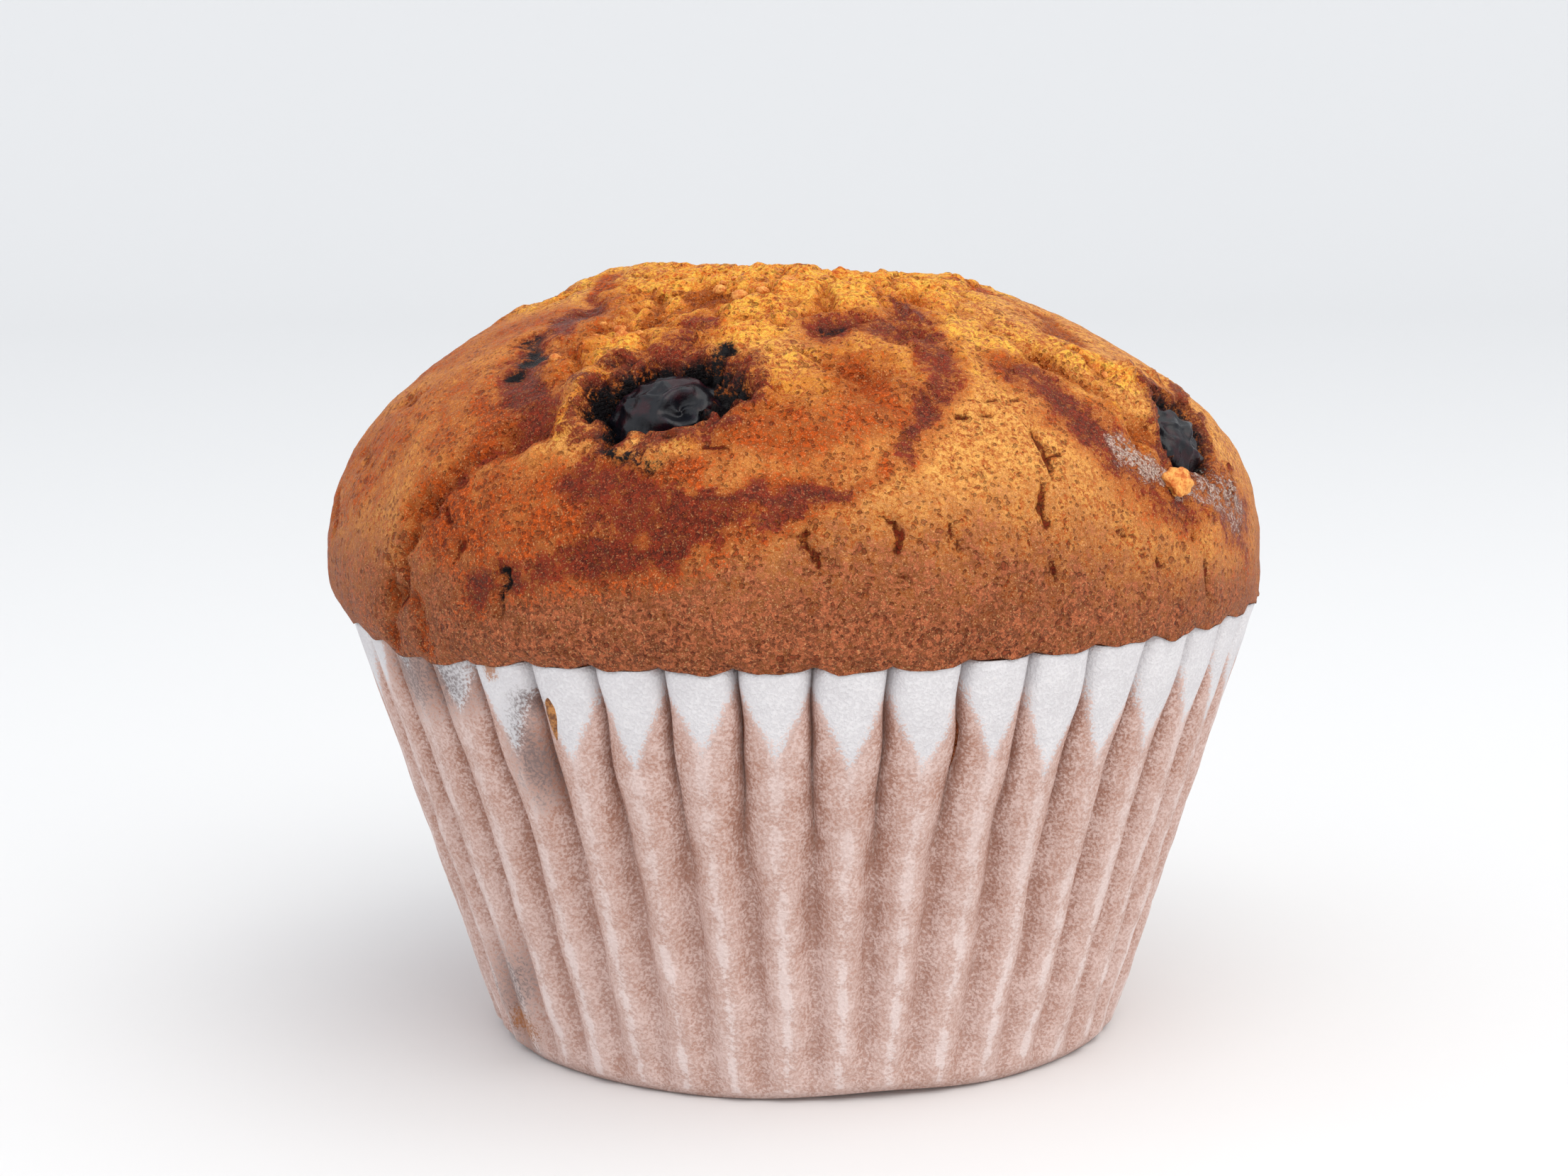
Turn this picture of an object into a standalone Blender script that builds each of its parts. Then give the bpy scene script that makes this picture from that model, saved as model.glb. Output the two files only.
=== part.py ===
"""A berry muffin in a pleated paper case: the cake, its case and its three whole berries.

Units are metres. +Z is up, -Y is the front and +X is the right. The origin is the centre of the
case's flat base, at the height of the table. Azimuth is measured from the front towards the right.
"""

import math

import bmesh
import bpy
from mathutils import Vector

# Paper case
BASE_RADIUS = 0.0250  # flat bottom, out to the fold where the pleats start
RIM_RADIUS = 0.0361  # over the pleats' crests
RIM_HEIGHT = 0.0341
RIM_TILT = 0.0006  # the rim stands this much higher on the right and lower on the left
PLEATS = 42
PLEAT_DEPTH = 0.0024  # crest to valley at the rim
PLEAT_START = 0.09  # share of a pleat by which the first valley lies right of the front
FOLD_HEIGHT = 0.0008  # the rounded fold between the base and the wall
PAPER = 0.0003
GAP = 0.0003  # clearance between neighbouring solids

# Cake
CROWN_RADIUS = 0.0369
CROWN_LEAN = 0.0006  # the crown bulges this much further on the left and less on the right
CROWN_WIDEST = 0.0382  # height of its widest ring
CROWN_TOP = 0.0602
CROWN_FULLNESS = 2.15  # superellipse exponent of its outline: 2 is an ellipse
CROWN_SIDES = 72
CROWN_RINGS = 12

# Each stands on the crown's top: right, back, radius and height of a smooth rise or sag.
CROWN_SWELLS = (
    (-0.0116, 0.0025, 0.0050, 0.0007),
    (-0.0050, -0.0020, 0.0050, 0.0004),
    (0.0030, 0.0030, 0.0045, -0.0006),
    (0.0075, 0.0020, 0.0030, -0.0019),
    (0.0118, 0.0030, 0.0042, 0.0007),
    (-0.0020, -0.0160, 0.0080, 0.0005),
    (0.0090, 0.0180, 0.0070, -0.0005),
    (-0.0060, 0.0170, 0.0080, 0.0007),
    (-0.0010, 0.0030, 0.0035, -0.0007),
    (-0.0170, 0.0030, 0.0070, 0.0013),
    (0.0300, 0.0030, 0.0100, -0.0034),
)

# Each berry: azimuth and rise in degrees, depth of its centre below the crust, half-axes, turn.
BERRIES = {
    "berry_front": (-20.5, 26.8, 0.0034, (0.0050, 0.0040, 0.0037), 24.0),
    "berry_right": (60.0, 18.0, 0.0031, (0.0046, 0.0040, 0.0036), -35.0),
    "berry_back": (158.0, 34.0, 0.0030, (0.0044, 0.0042, 0.0038), 10.0),
}
HOLLOW_MARGIN = 0.0007  # how much wider than its berry each hollow in the crust is
BERRY_SEGMENTS = 16
BERRY_RINGS = 10

# A pleat's outline has a point at each of these shares of it, from one valley to the next.
PLEAT_POINTS = (0.0, 0.2, 0.5, 0.8)
WALL_LEVELS = (0.16, 0.52)  # shares of the rim's height at which the wall has a ring of points


def clear_scene() -> None:
    """Removes every object that the file opened with."""
    for old in list(bpy.data.objects):
        bpy.data.objects.remove(old)


def material(name: str, colour: tuple, roughness: float) -> bpy.types.Material:
    """A plain non-metallic material."""
    made = bpy.data.materials.new(name)
    made.use_nodes = True
    shader = made.node_tree.nodes["Principled BSDF"]
    shader.inputs["Base Color"].default_value = (*colour, 1.0)
    shader.inputs["Roughness"].default_value = roughness
    shader.inputs["Metallic"].default_value = 0.0
    return made


def add_object(name: str, bm: bmesh.types.BMesh, made_of: bpy.types.Material, parent=None):
    """Turns a bmesh into a smooth-shaded object in the scene."""
    bmesh.ops.recalc_face_normals(bm, faces=bm.faces)
    mesh = bpy.data.meshes.new(name)
    bm.to_mesh(mesh)
    bm.free()
    mesh.shade_smooth()
    mesh.set_sharp_from_angle(angle=math.radians(40))
    mesh.materials.append(made_of)
    piece = bpy.data.objects.new(name, mesh)
    piece.parent = parent
    bpy.context.scene.collection.objects.link(piece)
    return piece


def azimuth_of(point: Vector) -> float:
    """Angle round the muffin, from the front towards the right."""
    return math.atan2(point.x, -point.y)


def around(azimuth: float, radius: float, height: float) -> Vector:
    """The point at an azimuth, a distance from the axis and a height."""
    return Vector((radius * math.sin(azimuth), -radius * math.cos(azimuth), height))


# ---------------------------------------------------------------- the case's outline


def rim_height(azimuth: float) -> float:
    """Height of the paper's top edge."""
    return RIM_HEIGHT + RIM_TILT * math.sin(azimuth)


def crest_radius(share: float) -> float:
    """Radius over the pleats' crests, at a share of the rim's height."""
    return BASE_RADIUS + (RIM_RADIUS - BASE_RADIUS) * share


def valley(azimuth: float, share: float) -> float:
    """1 in a pleat's valley and 0 on its crest. The valleys are narrowest at the rim."""
    wave = 0.5 + 0.5 * math.cos(PLEATS * azimuth - 2 * math.pi * PLEAT_START)
    return wave ** (1.1 + 1.3 * share)


def paper_radius(azimuth: float, share: float) -> float:
    """Radius of the paper's outer face. The pleats deepen from nothing at the base."""
    depth = PLEAT_DEPTH * math.sqrt(share)
    return crest_radius(share) - depth * valley(azimuth, share)


def inset_radius(azimuth: float, share: float, inset: float) -> float:
    """Radius of the outline that runs an inset inside the paper's outer face, square to it."""
    step = 1e-4
    radius = paper_radius(azimuth, share)
    slope = (paper_radius(azimuth + step, share) - paper_radius(azimuth - step, share)) / (2 * step)
    return radius - inset * math.hypot(1.0, slope / radius)


# ---------------------------------------------------------------- rings of points


def first_ring(bm: bmesh.types.BMesh, place) -> list:
    """A closed ring with one point for each pleat point, set down by place(azimuth)."""
    count = PLEATS * len(PLEAT_POINTS)
    ring = bmesh.ops.create_circle(bm, segments=count, radius=1.0)["verts"]
    for index, vert in enumerate(ring):
        pleat, point = divmod(index, len(PLEAT_POINTS))
        azimuth = 2 * math.pi * (pleat + PLEAT_POINTS[point] + PLEAT_START) / PLEATS
        vert.co = place(azimuth)
    return ring


def next_ring(bm: bmesh.types.BMesh, ring: list, place) -> list:
    """Extrudes the ring and sets each new point down by place(azimuth)."""
    inside = set(ring)
    edges = [e for e in bm.edges if e.verts[0] in inside and e.verts[1] in inside]
    grown = bmesh.ops.extrude_edge_only(bm, edges=edges)["geom"]
    new = [item for item in grown if isinstance(item, bmesh.types.BMVert)]
    for vert in new:
        vert.co = place(azimuth_of(vert.co))
    return new


def close_ring(bm: bmesh.types.BMesh, ring: list) -> None:
    """Fills a flat ring with one face."""
    inside = set(ring)
    bmesh.ops.contextual_create(
        bm, geom=[e for e in bm.edges if e.verts[0] in inside and e.verts[1] in inside]
    )


def wall_place(inset: float, share: float):
    """Places a point of the wall, an inset inside the paper's outer face."""

    def place(azimuth: float) -> Vector:
        return around(azimuth, inset_radius(azimuth, share, inset), rim_height(azimuth) * share)

    return place


def flat_place(radius: float, height: float):
    """Places a point on a plain circle."""
    return lambda azimuth: around(azimuth, radius, height)


# ---------------------------------------------------------------- the paper case


def make_paper_case(parent) -> None:
    """A thin cup: the outer face from the base up, over the rim, and the inner face down again."""
    bm = bmesh.new()
    fold = FOLD_HEIGHT / RIM_HEIGHT
    ring = first_ring(bm, flat_place(BASE_RADIUS - FOLD_HEIGHT / 2, 0.0))
    close_ring(bm, ring)
    for share in (fold, *WALL_LEVELS, 1.0):
        ring = next_ring(bm, ring, wall_place(0.0, share))
    for share in (1.0, *reversed(WALL_LEVELS), fold):
        ring = next_ring(bm, ring, wall_place(PAPER, share))
    ring = next_ring(bm, ring, flat_place(BASE_RADIUS - FOLD_HEIGHT, PAPER))
    close_ring(bm, ring)
    paper = material("baking_paper", (0.86, 0.80, 0.78), 0.75)
    add_object("paper_case", bm, paper, parent)


# ---------------------------------------------------------------- the cake


def crown_reach(azimuth: float) -> float:
    """Radius of the crown's widest ring."""
    return CROWN_RADIUS - CROWN_LEAN * math.sin(azimuth)


def swell_at(point: Vector) -> float:
    """How far the crown's top rises or sags at a point."""
    total = 0.0
    for right, back, radius, height in CROWN_SWELLS:
        away = math.hypot(point.x - right, point.y - back) / radius
        total += height * math.exp(-away * away)
    return total


def crown_point(azimuth: float, rise: float) -> Vector:
    """A point of the crust, seen from the middle of the crown's widest ring at an angle of rise."""
    across = math.cos(rise) / crown_reach(azimuth)
    up = math.sin(rise) / (CROWN_TOP - CROWN_WIDEST)
    power = CROWN_FULLNESS
    reach = (across**power + up**power) ** (-1.0 / power)
    point = around(azimuth, reach * math.cos(rise), CROWN_WIDEST + reach * math.sin(rise))
    point.z += swell_at(point) * math.sin(rise)
    return point


def neck_place(azimuth: float) -> Vector:
    """The top of the cake's pleated side, just above the paper's rim."""
    return around(azimuth, inset_radius(azimuth, 1.0, PAPER + GAP), rim_height(azimuth) + GAP)


def lip_place(azimuth: float) -> Vector:
    """The crown's lower edge, which lies just over the paper's rim and follows its pleats."""
    return around(azimuth, paper_radius(azimuth, 1.0), rim_height(azimuth) + GAP)


def brow_place(azimuth: float) -> Vector:
    """Halfway up the bulge over the rim, where the pleats' print has almost gone."""
    radius = 0.35 * paper_radius(azimuth, 1.0) + 0.65 * crown_reach(azimuth)
    return around(azimuth, radius, rim_height(azimuth) + 0.3 * (CROWN_WIDEST - RIM_HEIGHT))


def crown_ring(bm: bmesh.types.BMesh, rise: float) -> list:
    """A smooth ring of the crust."""
    ring = bmesh.ops.create_circle(bm, segments=CROWN_SIDES, radius=1.0)["verts"]
    for index, vert in enumerate(ring):
        vert.co = crown_point(2 * math.pi * index / CROWN_SIDES, rise)
    return ring


def bridge(bm: bmesh.types.BMesh, lower: list, upper: list) -> None:
    """Joins two rings, which may have different numbers of points."""
    loops = []
    for ring in (lower, upper):
        inside = set(ring)
        loops += [e for e in bm.edges if e.verts[0] in inside and e.verts[1] in inside]
    bmesh.ops.bridge_loops(bm, edges=loops)


def make_cake(parent) -> bpy.types.Object:
    """The crumb that fills the case and the crown that has risen out of it, as one solid."""
    bm = bmesh.new()
    inset = PAPER + GAP
    floor = PAPER + GAP
    ring = first_ring(bm, flat_place(BASE_RADIUS - FOLD_HEIGHT - inset, floor))
    close_ring(bm, ring)
    for share in (2 * FOLD_HEIGHT / RIM_HEIGHT, *WALL_LEVELS):
        ring = next_ring(bm, ring, wall_place(inset, share))
    for place in (neck_place, lip_place, brow_place):
        ring = next_ring(bm, ring, place)
    for index in range(CROWN_RINGS):
        rise = math.radians(90.0 * index / CROWN_RINGS)
        above = crown_ring(bm, rise)
        bridge(bm, ring, above)
        ring = above
    apex = bm.verts.new(crown_point(0.0, math.pi / 2))
    inside = set(ring)
    for edge in [e for e in bm.edges if e.verts[0] in inside and e.verts[1] in inside]:
        bm.faces.new((edge.verts[0], edge.verts[1], apex))
    bmesh.ops.triangulate(bm, faces=bm.faces)
    crust = material("baked_crust", (0.50, 0.20, 0.06), 0.6)
    return add_object("cake", bm, crust, parent)


# ---------------------------------------------------------------- the berries


def berry_ball(half_axes: tuple, margin: float) -> bmesh.types.BMesh:
    """A ball with a shallow calyx dent at its top, grown by a margin."""
    bm = bmesh.new()
    bmesh.ops.create_uvsphere(bm, u_segments=BERRY_SEGMENTS, v_segments=BERRY_RINGS, radius=1.0)
    for vert in bm.verts:
        dent = 1.0 - 0.16 * math.exp(-((1.0 - vert.co.z) / 0.12)) * (margin == 0.0)
        vert.co = Vector([c * dent * (half + margin) for c, half in zip(vert.co, half_axes)])
    return bm


def seat_berry(piece, azimuth: float, rise: float, depth: float, turn: float) -> None:
    """Sets a berry below the crust, with its top facing out."""
    point = crown_point(azimuth, rise)
    step = 0.01
    along = crown_point(azimuth + step, rise) - point
    up = crown_point(azimuth, rise + step) - point
    out = along.cross(up).normalized()
    piece.location = point - out * depth
    facing = out.to_track_quat("Z", "Y").to_matrix().to_4x4()
    piece.rotation_euler = facing.to_euler()
    piece.rotation_euler.rotate_axis("Z", turn)


def make_berries(cake: bpy.types.Object, parent) -> None:
    """Three whole berries, each in a hollow cut into the cake."""
    skin = material("berry_skin", (0.02, 0.015, 0.03), 0.35)
    for name, (azimuth, rise, depth, half_axes, turn) in BERRIES.items():
        angles = (math.radians(azimuth), math.radians(rise))
        berry = add_object(name, berry_ball(half_axes, 0.0), skin, parent)
        seat_berry(berry, *angles, depth, math.radians(turn))
        hollow = add_object(name + "_hollow", berry_ball(half_axes, HOLLOW_MARGIN), skin, parent)
        seat_berry(hollow, *angles, depth, math.radians(turn))
        hollow.hide_render = True
        hollow.display_type = "WIRE"
        cut = cake.modifiers.new(name + "_hollow", "BOOLEAN")
        cut.operation = "DIFFERENCE"
        cut.solver = "EXACT"
        cut.object = hollow


def main() -> None:
    """Builds the muffin."""
    clear_scene()
    muffin = bpy.data.objects.new("muffin", None)
    bpy.context.scene.collection.objects.link(muffin)
    make_paper_case(muffin)
    cake = make_cake(muffin)
    make_berries(cake, muffin)


main()
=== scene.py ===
"""A berry muffin in a pleated paper case: its crust, swirls, berries, crumbs and greased paper.

Lengths inside the classes are millimetres. Azimuth runs from the front (-Y) towards the right (+X),
and rise is the angle above the crown's widest ring, both in degrees where a feature is described.
"""

import logging
import math
import random
from dataclasses import dataclass
from enum import Enum

import bmesh
import bpy
import numpy as np
from mathutils import Matrix, Vector, noise


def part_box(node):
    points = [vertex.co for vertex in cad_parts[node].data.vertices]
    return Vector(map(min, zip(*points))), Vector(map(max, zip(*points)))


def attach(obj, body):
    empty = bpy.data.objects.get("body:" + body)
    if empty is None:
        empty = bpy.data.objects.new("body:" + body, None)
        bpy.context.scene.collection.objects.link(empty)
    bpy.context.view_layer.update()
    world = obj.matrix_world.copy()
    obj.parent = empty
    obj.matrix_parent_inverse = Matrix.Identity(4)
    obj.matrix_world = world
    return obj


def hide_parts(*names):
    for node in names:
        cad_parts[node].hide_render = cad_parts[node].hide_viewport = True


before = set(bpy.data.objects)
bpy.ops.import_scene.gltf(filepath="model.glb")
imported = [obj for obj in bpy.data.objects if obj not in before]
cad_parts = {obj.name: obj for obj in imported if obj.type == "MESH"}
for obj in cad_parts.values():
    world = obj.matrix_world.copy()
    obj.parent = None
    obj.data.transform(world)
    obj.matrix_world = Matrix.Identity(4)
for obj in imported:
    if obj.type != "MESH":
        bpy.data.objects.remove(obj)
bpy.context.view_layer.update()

LOG = logging.getLogger("muffin")
MM = 0.001


def srgb(red: float, green: float, blue: float) -> tuple[float, float, float, float]:
    """A colour given as it is seen, from 0 to 255, as the shader's linear values.

    Args:
        red: The red share.
        green: The green share.
        blue: The blue share.

    Returns:
        Linear red, green and blue with full alpha.
    """

    def linear(part: float) -> float:
        share = part / 255.0
        return share / 12.92 if share <= 0.04045 else ((share + 0.055) / 1.055) ** 2.4

    return (linear(red), linear(green), linear(blue), 1.0)


def ramp(low: float, high: float, value):
    """A smooth step from 0 at low to 1 at high.

    Args:
        low: Where the step starts.
        high: Where the step ends. It may lie below low.
        value: A number or an array.

    Returns:
        The step's height at each value.
    """
    share = np.clip((value - low) / (high - low), 0.0, 1.0)
    return share * share * (3.0 - 2.0 * share)


def ripple(x: float, y: float, z: float) -> float:
    """Smooth noise from -1 to 1 at a point."""
    return noise.noise(Vector((x, y, z)))


# ---------------------------------------------------------------- shader maths


class Signal:
    """A number that varies over a surface, as a socket whose arithmetic adds Math nodes."""

    def __init__(self, nodes: "Nodes", socket: bpy.types.NodeSocket) -> None:
        """Wraps a socket of a material's nodes."""
        self.nodes = nodes
        self.socket = socket

    def _math(self, operation: str, *values: object) -> "Signal":
        """Adds one Math node on the given values."""
        node = self.nodes.add("ShaderNodeMath", {"operation": operation}, dict(enumerate(values)))
        return Signal(self.nodes, node.outputs[0])

    def __add__(self, other: object) -> "Signal":
        """The sum."""
        return self._math("ADD", self, other)

    __radd__ = __add__

    def __sub__(self, other: object) -> "Signal":
        """The difference."""
        return self._math("SUBTRACT", self, other)

    def __rsub__(self, other: object) -> "Signal":
        """The difference from a number."""
        return self._math("SUBTRACT", other, self)

    def __mul__(self, other: object) -> "Signal":
        """The product."""
        return self._math("MULTIPLY", self, other)

    __rmul__ = __mul__

    def least(self, other: object) -> "Signal":
        """The smaller of the two."""
        return self._math("MINIMUM", self, other)

    def most(self, other: object) -> "Signal":
        """The larger of the two."""
        return self._math("MAXIMUM", self, other)

    def step(self, low: float, high: float) -> "Signal":
        """A smooth step from 0 where the signal is low to 1 where it is high."""
        node = self.nodes.add(
            "ShaderNodeMapRange",
            {"interpolation_type": "SMOOTHSTEP", "clamp": True},
            {0: self, 1: low, 2: high, 3: 0.0, 4: 1.0},
        )
        return Signal(self.nodes, node.outputs[0])


class Nodes:
    """The node tree of one material, built from expressions."""

    def __init__(self, name: str) -> None:
        """Starts a material with one Principled shader."""
        self.material = bpy.data.materials.new(name)
        self.material.use_nodes = True
        self.tree = self.material.node_tree
        self.shader = self.tree.nodes["Principled BSDF"]

    def add(self, kind: str, settings: dict, sockets: dict) -> bpy.types.Node:
        """Adds a node.

        Args:
            kind: The node's type.
            settings: Its properties, which are set first.
            sockets: A value, a socket or a signal for each input, by name or number.

        Returns:
            The node.
        """
        node = self.tree.nodes.new(kind)
        for key, setting in settings.items():
            setattr(node, key, setting)
        for key, given in sockets.items():
            self.feed(node.inputs[key], given)
        return node

    def feed(self, entry: bpy.types.NodeSocket, given: object) -> None:
        """Links a socket or a signal to an input, or sets the input's own value."""
        given = given.socket if isinstance(given, Signal) else given
        if isinstance(given, bpy.types.NodeSocket):
            self.tree.links.new(given, entry)
        else:
            entry.default_value = given

    def place(self) -> bpy.types.NodeSocket:
        """Object coordinates in millimetres."""
        coords = self.add("ShaderNodeTexCoord", {}, {})
        sockets = {0: coords.outputs["Object"], 1: (1.0 / MM, 1.0 / MM, 1.0 / MM)}
        return self.add("ShaderNodeVectorMath", {"operation": "MULTIPLY"}, sockets).outputs[0]

    def warped(self, at: object, scale: float, amount: float) -> bpy.types.NodeSocket:
        """Coordinates pushed about by noise, so that a pattern on them loses its roundness."""
        clouds = self.add("ShaderNodeTexNoise", {}, {"Vector": at, "Scale": scale, "Detail": 2.0})
        settings = {"operation": "MULTIPLY_ADD"}
        sockets = {0: clouds.outputs[1], 1: (amount, amount, amount), 2: at}
        return self.add("ShaderNodeVectorMath", settings, sockets).outputs[0]

    def cloud(self, at: object, scale: float, detail: float = 2.0, rough: float = 0.5) -> Signal:
        """Noise of about 0 to 1 with so many waves to the millimetre."""
        sockets = {"Vector": at, "Scale": scale, "Detail": detail, "Roughness": rough}
        return Signal(self, self.add("ShaderNodeTexNoise", {}, sockets).outputs[0])

    def cells(self, at: object, scale: float) -> Signal:
        """Distance to the nearest of scattered points."""
        sockets = {"Vector": at, "Scale": scale}
        return Signal(self, self.add("ShaderNodeTexVoronoi", {}, sockets).outputs["Distance"])

    def painted(self, name: str) -> Signal:
        """A mark that is stored on the piece's points."""
        node = self.add("ShaderNodeAttribute", {"attribute_name": name}, {})
        return Signal(self, node.outputs["Fac"])

    def blend(self, share: object, low: object, high: object) -> bpy.types.NodeSocket:
        """A mix of two colours."""
        settings = {"data_type": "RGBA", "clamp_factor": True}
        return self.add("ShaderNodeMix", settings, {0: share, 6: low, 7: high}).outputs[2]

    def relief(self, height: Signal, depth: float, strength: float = 1.0) -> bpy.types.NodeSocket:
        """A bump whose height of 1 stands for a depth in millimetres."""
        sockets = {"Height": height, "Distance": depth * MM, "Strength": strength}
        return self.add("ShaderNodeBump", {}, sockets).outputs[0]

    def finish(self, **sockets: object) -> bpy.types.Material:
        """Feeds the shader and returns the material. Underscores stand for spaces."""
        for name, given in sockets.items():
            self.feed(self.shader.inputs[name.replace("_", " ")], given)
        return self.material


# ---------------------------------------------------------------- finishes


class Mark(Enum):
    """What a place on the crust or the paper is marked with."""

    JUICE = "juice"
    CHAR_AND_SHADE = "char_and_shade"
    TORN_AND_SHADED = "torn"
    OPEN = "open"
    FROST = "frost"
    RUSSET = "russet"
    CREASE_SHADE = "crease"
    BROWN = "brown"
    PIT = "pit"
    RIDGE = "ridge"
    GREASE = "grease"
    STAIN = "stain"
    OIL = "oil"


@dataclass(frozen=True)
class CrustFinish:
    """Baked crust: tan to red-brown, golden where it is torn open, purple where juice ran, with painted
    shade in its splits, crevices and small holes, and painted highlights.
    """

    tan: tuple = srgb(255, 188, 98)
    tan_deep: tuple = srgb(172, 68, 16)
    gold: tuple = srgb(255, 202, 82)
    gold_deep: tuple = srgb(218, 80, 6)
    brown: tuple = srgb(200, 112, 72)
    brown_deep: tuple = srgb(28, 5, 4)
    russet: tuple = srgb(212, 92, 28)
    russet_deep: tuple = srgb(76, 15, 3)
    # split crust: the inner crumb's colour, darkened partly as painted shade in the splits and crevices
    torn: tuple = srgb(184, 76, 12)
    torn_shaded_deep: tuple = srgb(68, 16, 3)
    juice: tuple = srgb(148, 48, 18)
    juice_deep: tuple = srgb(30, 5, 4)
    # near-black: burnt juice and crust, and painted shadow along the lip's edge
    char_and_shade: tuple = srgb(10, 6, 9)
    frost: tuple = srgb(224, 208, 192)
    # painted shade in the crust's small holes and fine cracks
    hole_shade: tuple = srgb(114, 30, 5)
    # painted highlight: small bright sparkles painted into the crust's colour
    painted_glint: tuple = srgb(255, 198, 136)

    def material(self) -> bpy.types.Material:
        """Builds the material.

        Returns:
            A crust material that reads the marks on the cake.
        """
        n = Nodes("baked crust")
        at = n.place()
        loose = n.warped(n.warped(at, 1.1, 0.5), 2.6, 0.45)
        patch = n.cloud(at, 0.17, 3.0, 0.6).step(0.36, 0.64)
        mottle = n.cloud(loose, 0.8, 3.0, 0.62)
        grain = n.cloud(loose, 2.7, 3.0, 0.7)
        speck = n.cloud(at, 5.6, 2.0, 0.6)
        middle, fine, finest = mottle.step(0.36, 0.64), grain.step(0.44, 0.56), speck.step(0.4, 0.6)
        tone = 0.12 * patch + 0.2 * middle + 0.46 * fine + 0.22 * finest
        edge = (0.42 * middle + 0.36 * fine + 0.22 * finest) - 0.5

        def spread(mark: Mark, amount: float = 1.0, sharp: float = 0.26) -> Signal:
            """A mark's share, with a ragged edge where it fades out and none where it isn't."""
            painted = n.painted(mark.value)
            return (painted - 0.5 + edge * amount * (painted * 5.0).least(1.0)).step(-sharp, sharp)

        juice, char_and_shade = spread(Mark.JUICE, 1.4, 0.3), spread(Mark.CHAR_AND_SHADE, 0.7)
        # Painted highlight: tiny bright sparkles, weaker on the juice, mixed into the colour.
        painted_glint = n.cloud(at, 7.5, 2.0, 0.6).step(0.58, 0.68)
        layers = (
            (spread(Mark.BROWN, 0.9, 0.5), self.brown_deep, self.brown),
            (spread(Mark.OPEN, 1.1, 0.34), self.gold_deep, self.gold),
            (spread(Mark.RUSSET, 0.9, 0.52), self.russet_deep, self.russet),
            # Split crust: partly the inner crumb's colour, partly painted shade in the splits and crevices.
            (spread(Mark.TORN_AND_SHADED, 1.1, 0.3) * 0.9, self.torn_shaded_deep, self.torn),
            (juice * 0.96, self.juice_deep, self.juice),
        )
        colour = n.blend(tone, self.tan_deep, self.tan)
        for share, deep, light in layers:
            colour = n.blend(share, colour, n.blend(tone, deep, light))
        colour = n.blend(painted_glint * (0.38 - 0.14 * juice), colour, self.painted_glint)
        colour = n.blend(char_and_shade, colour, self.char_and_shade)
        colour = n.blend(spread(Mark.FROST, 1.7, 0.4) * (0.22 + 0.46 * finest), colour, self.frost)
        # Painted shade: the crust's small holes are darkened.
        shaded_pores = self._pores(n, loose) * (1.0 - char_and_shade)
        # Painted shade: the fine cracks are darkened, partly with the crumb's colour inside them and partly
        # with the shade in them.
        shaded_pits = (n.painted(Mark.PIT.value) + edge * 0.6).step(0.55, 0.95)
        colour = n.blend(shaded_pores * 0.56, colour, self.hole_shade)
        colour = n.blend(shaded_pits * 0.95, colour, n.blend(fine, self.torn_shaded_deep, self.hole_shade))
        height = mottle * 0.5 + grain * 0.8 + speck * 0.35 - shaded_pores * 0.6 - shaded_pits * 0.5
        return n.finish(
            Base_Color=colour,
            Roughness=0.58 - 0.12 * juice - 0.12 * char_and_shade + 0.24 * (fine - 0.5),
            Normal=n.relief(height, 0.5, 1.0),
            Specular_IOR_Level=0.12,
            Coat_Weight=juice * 0.1,
            Coat_Roughness=0.2,
        )

    @staticmethod
    def _pores(n: Nodes, at: bpy.types.NodeSocket) -> Signal:
        """Small open bubbles of two sizes, more in some places than in others."""
        room = n.cloud(at, 0.3, 2.0).step(0.4, 0.62)
        large = (n.cells(at, 0.7) - 0.1 * room).step(0.13, 0.03)
        small = (n.cells(at, 1.9) - 0.16 * room).step(0.22, 0.06)
        return large.most(small * 0.8)


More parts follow.
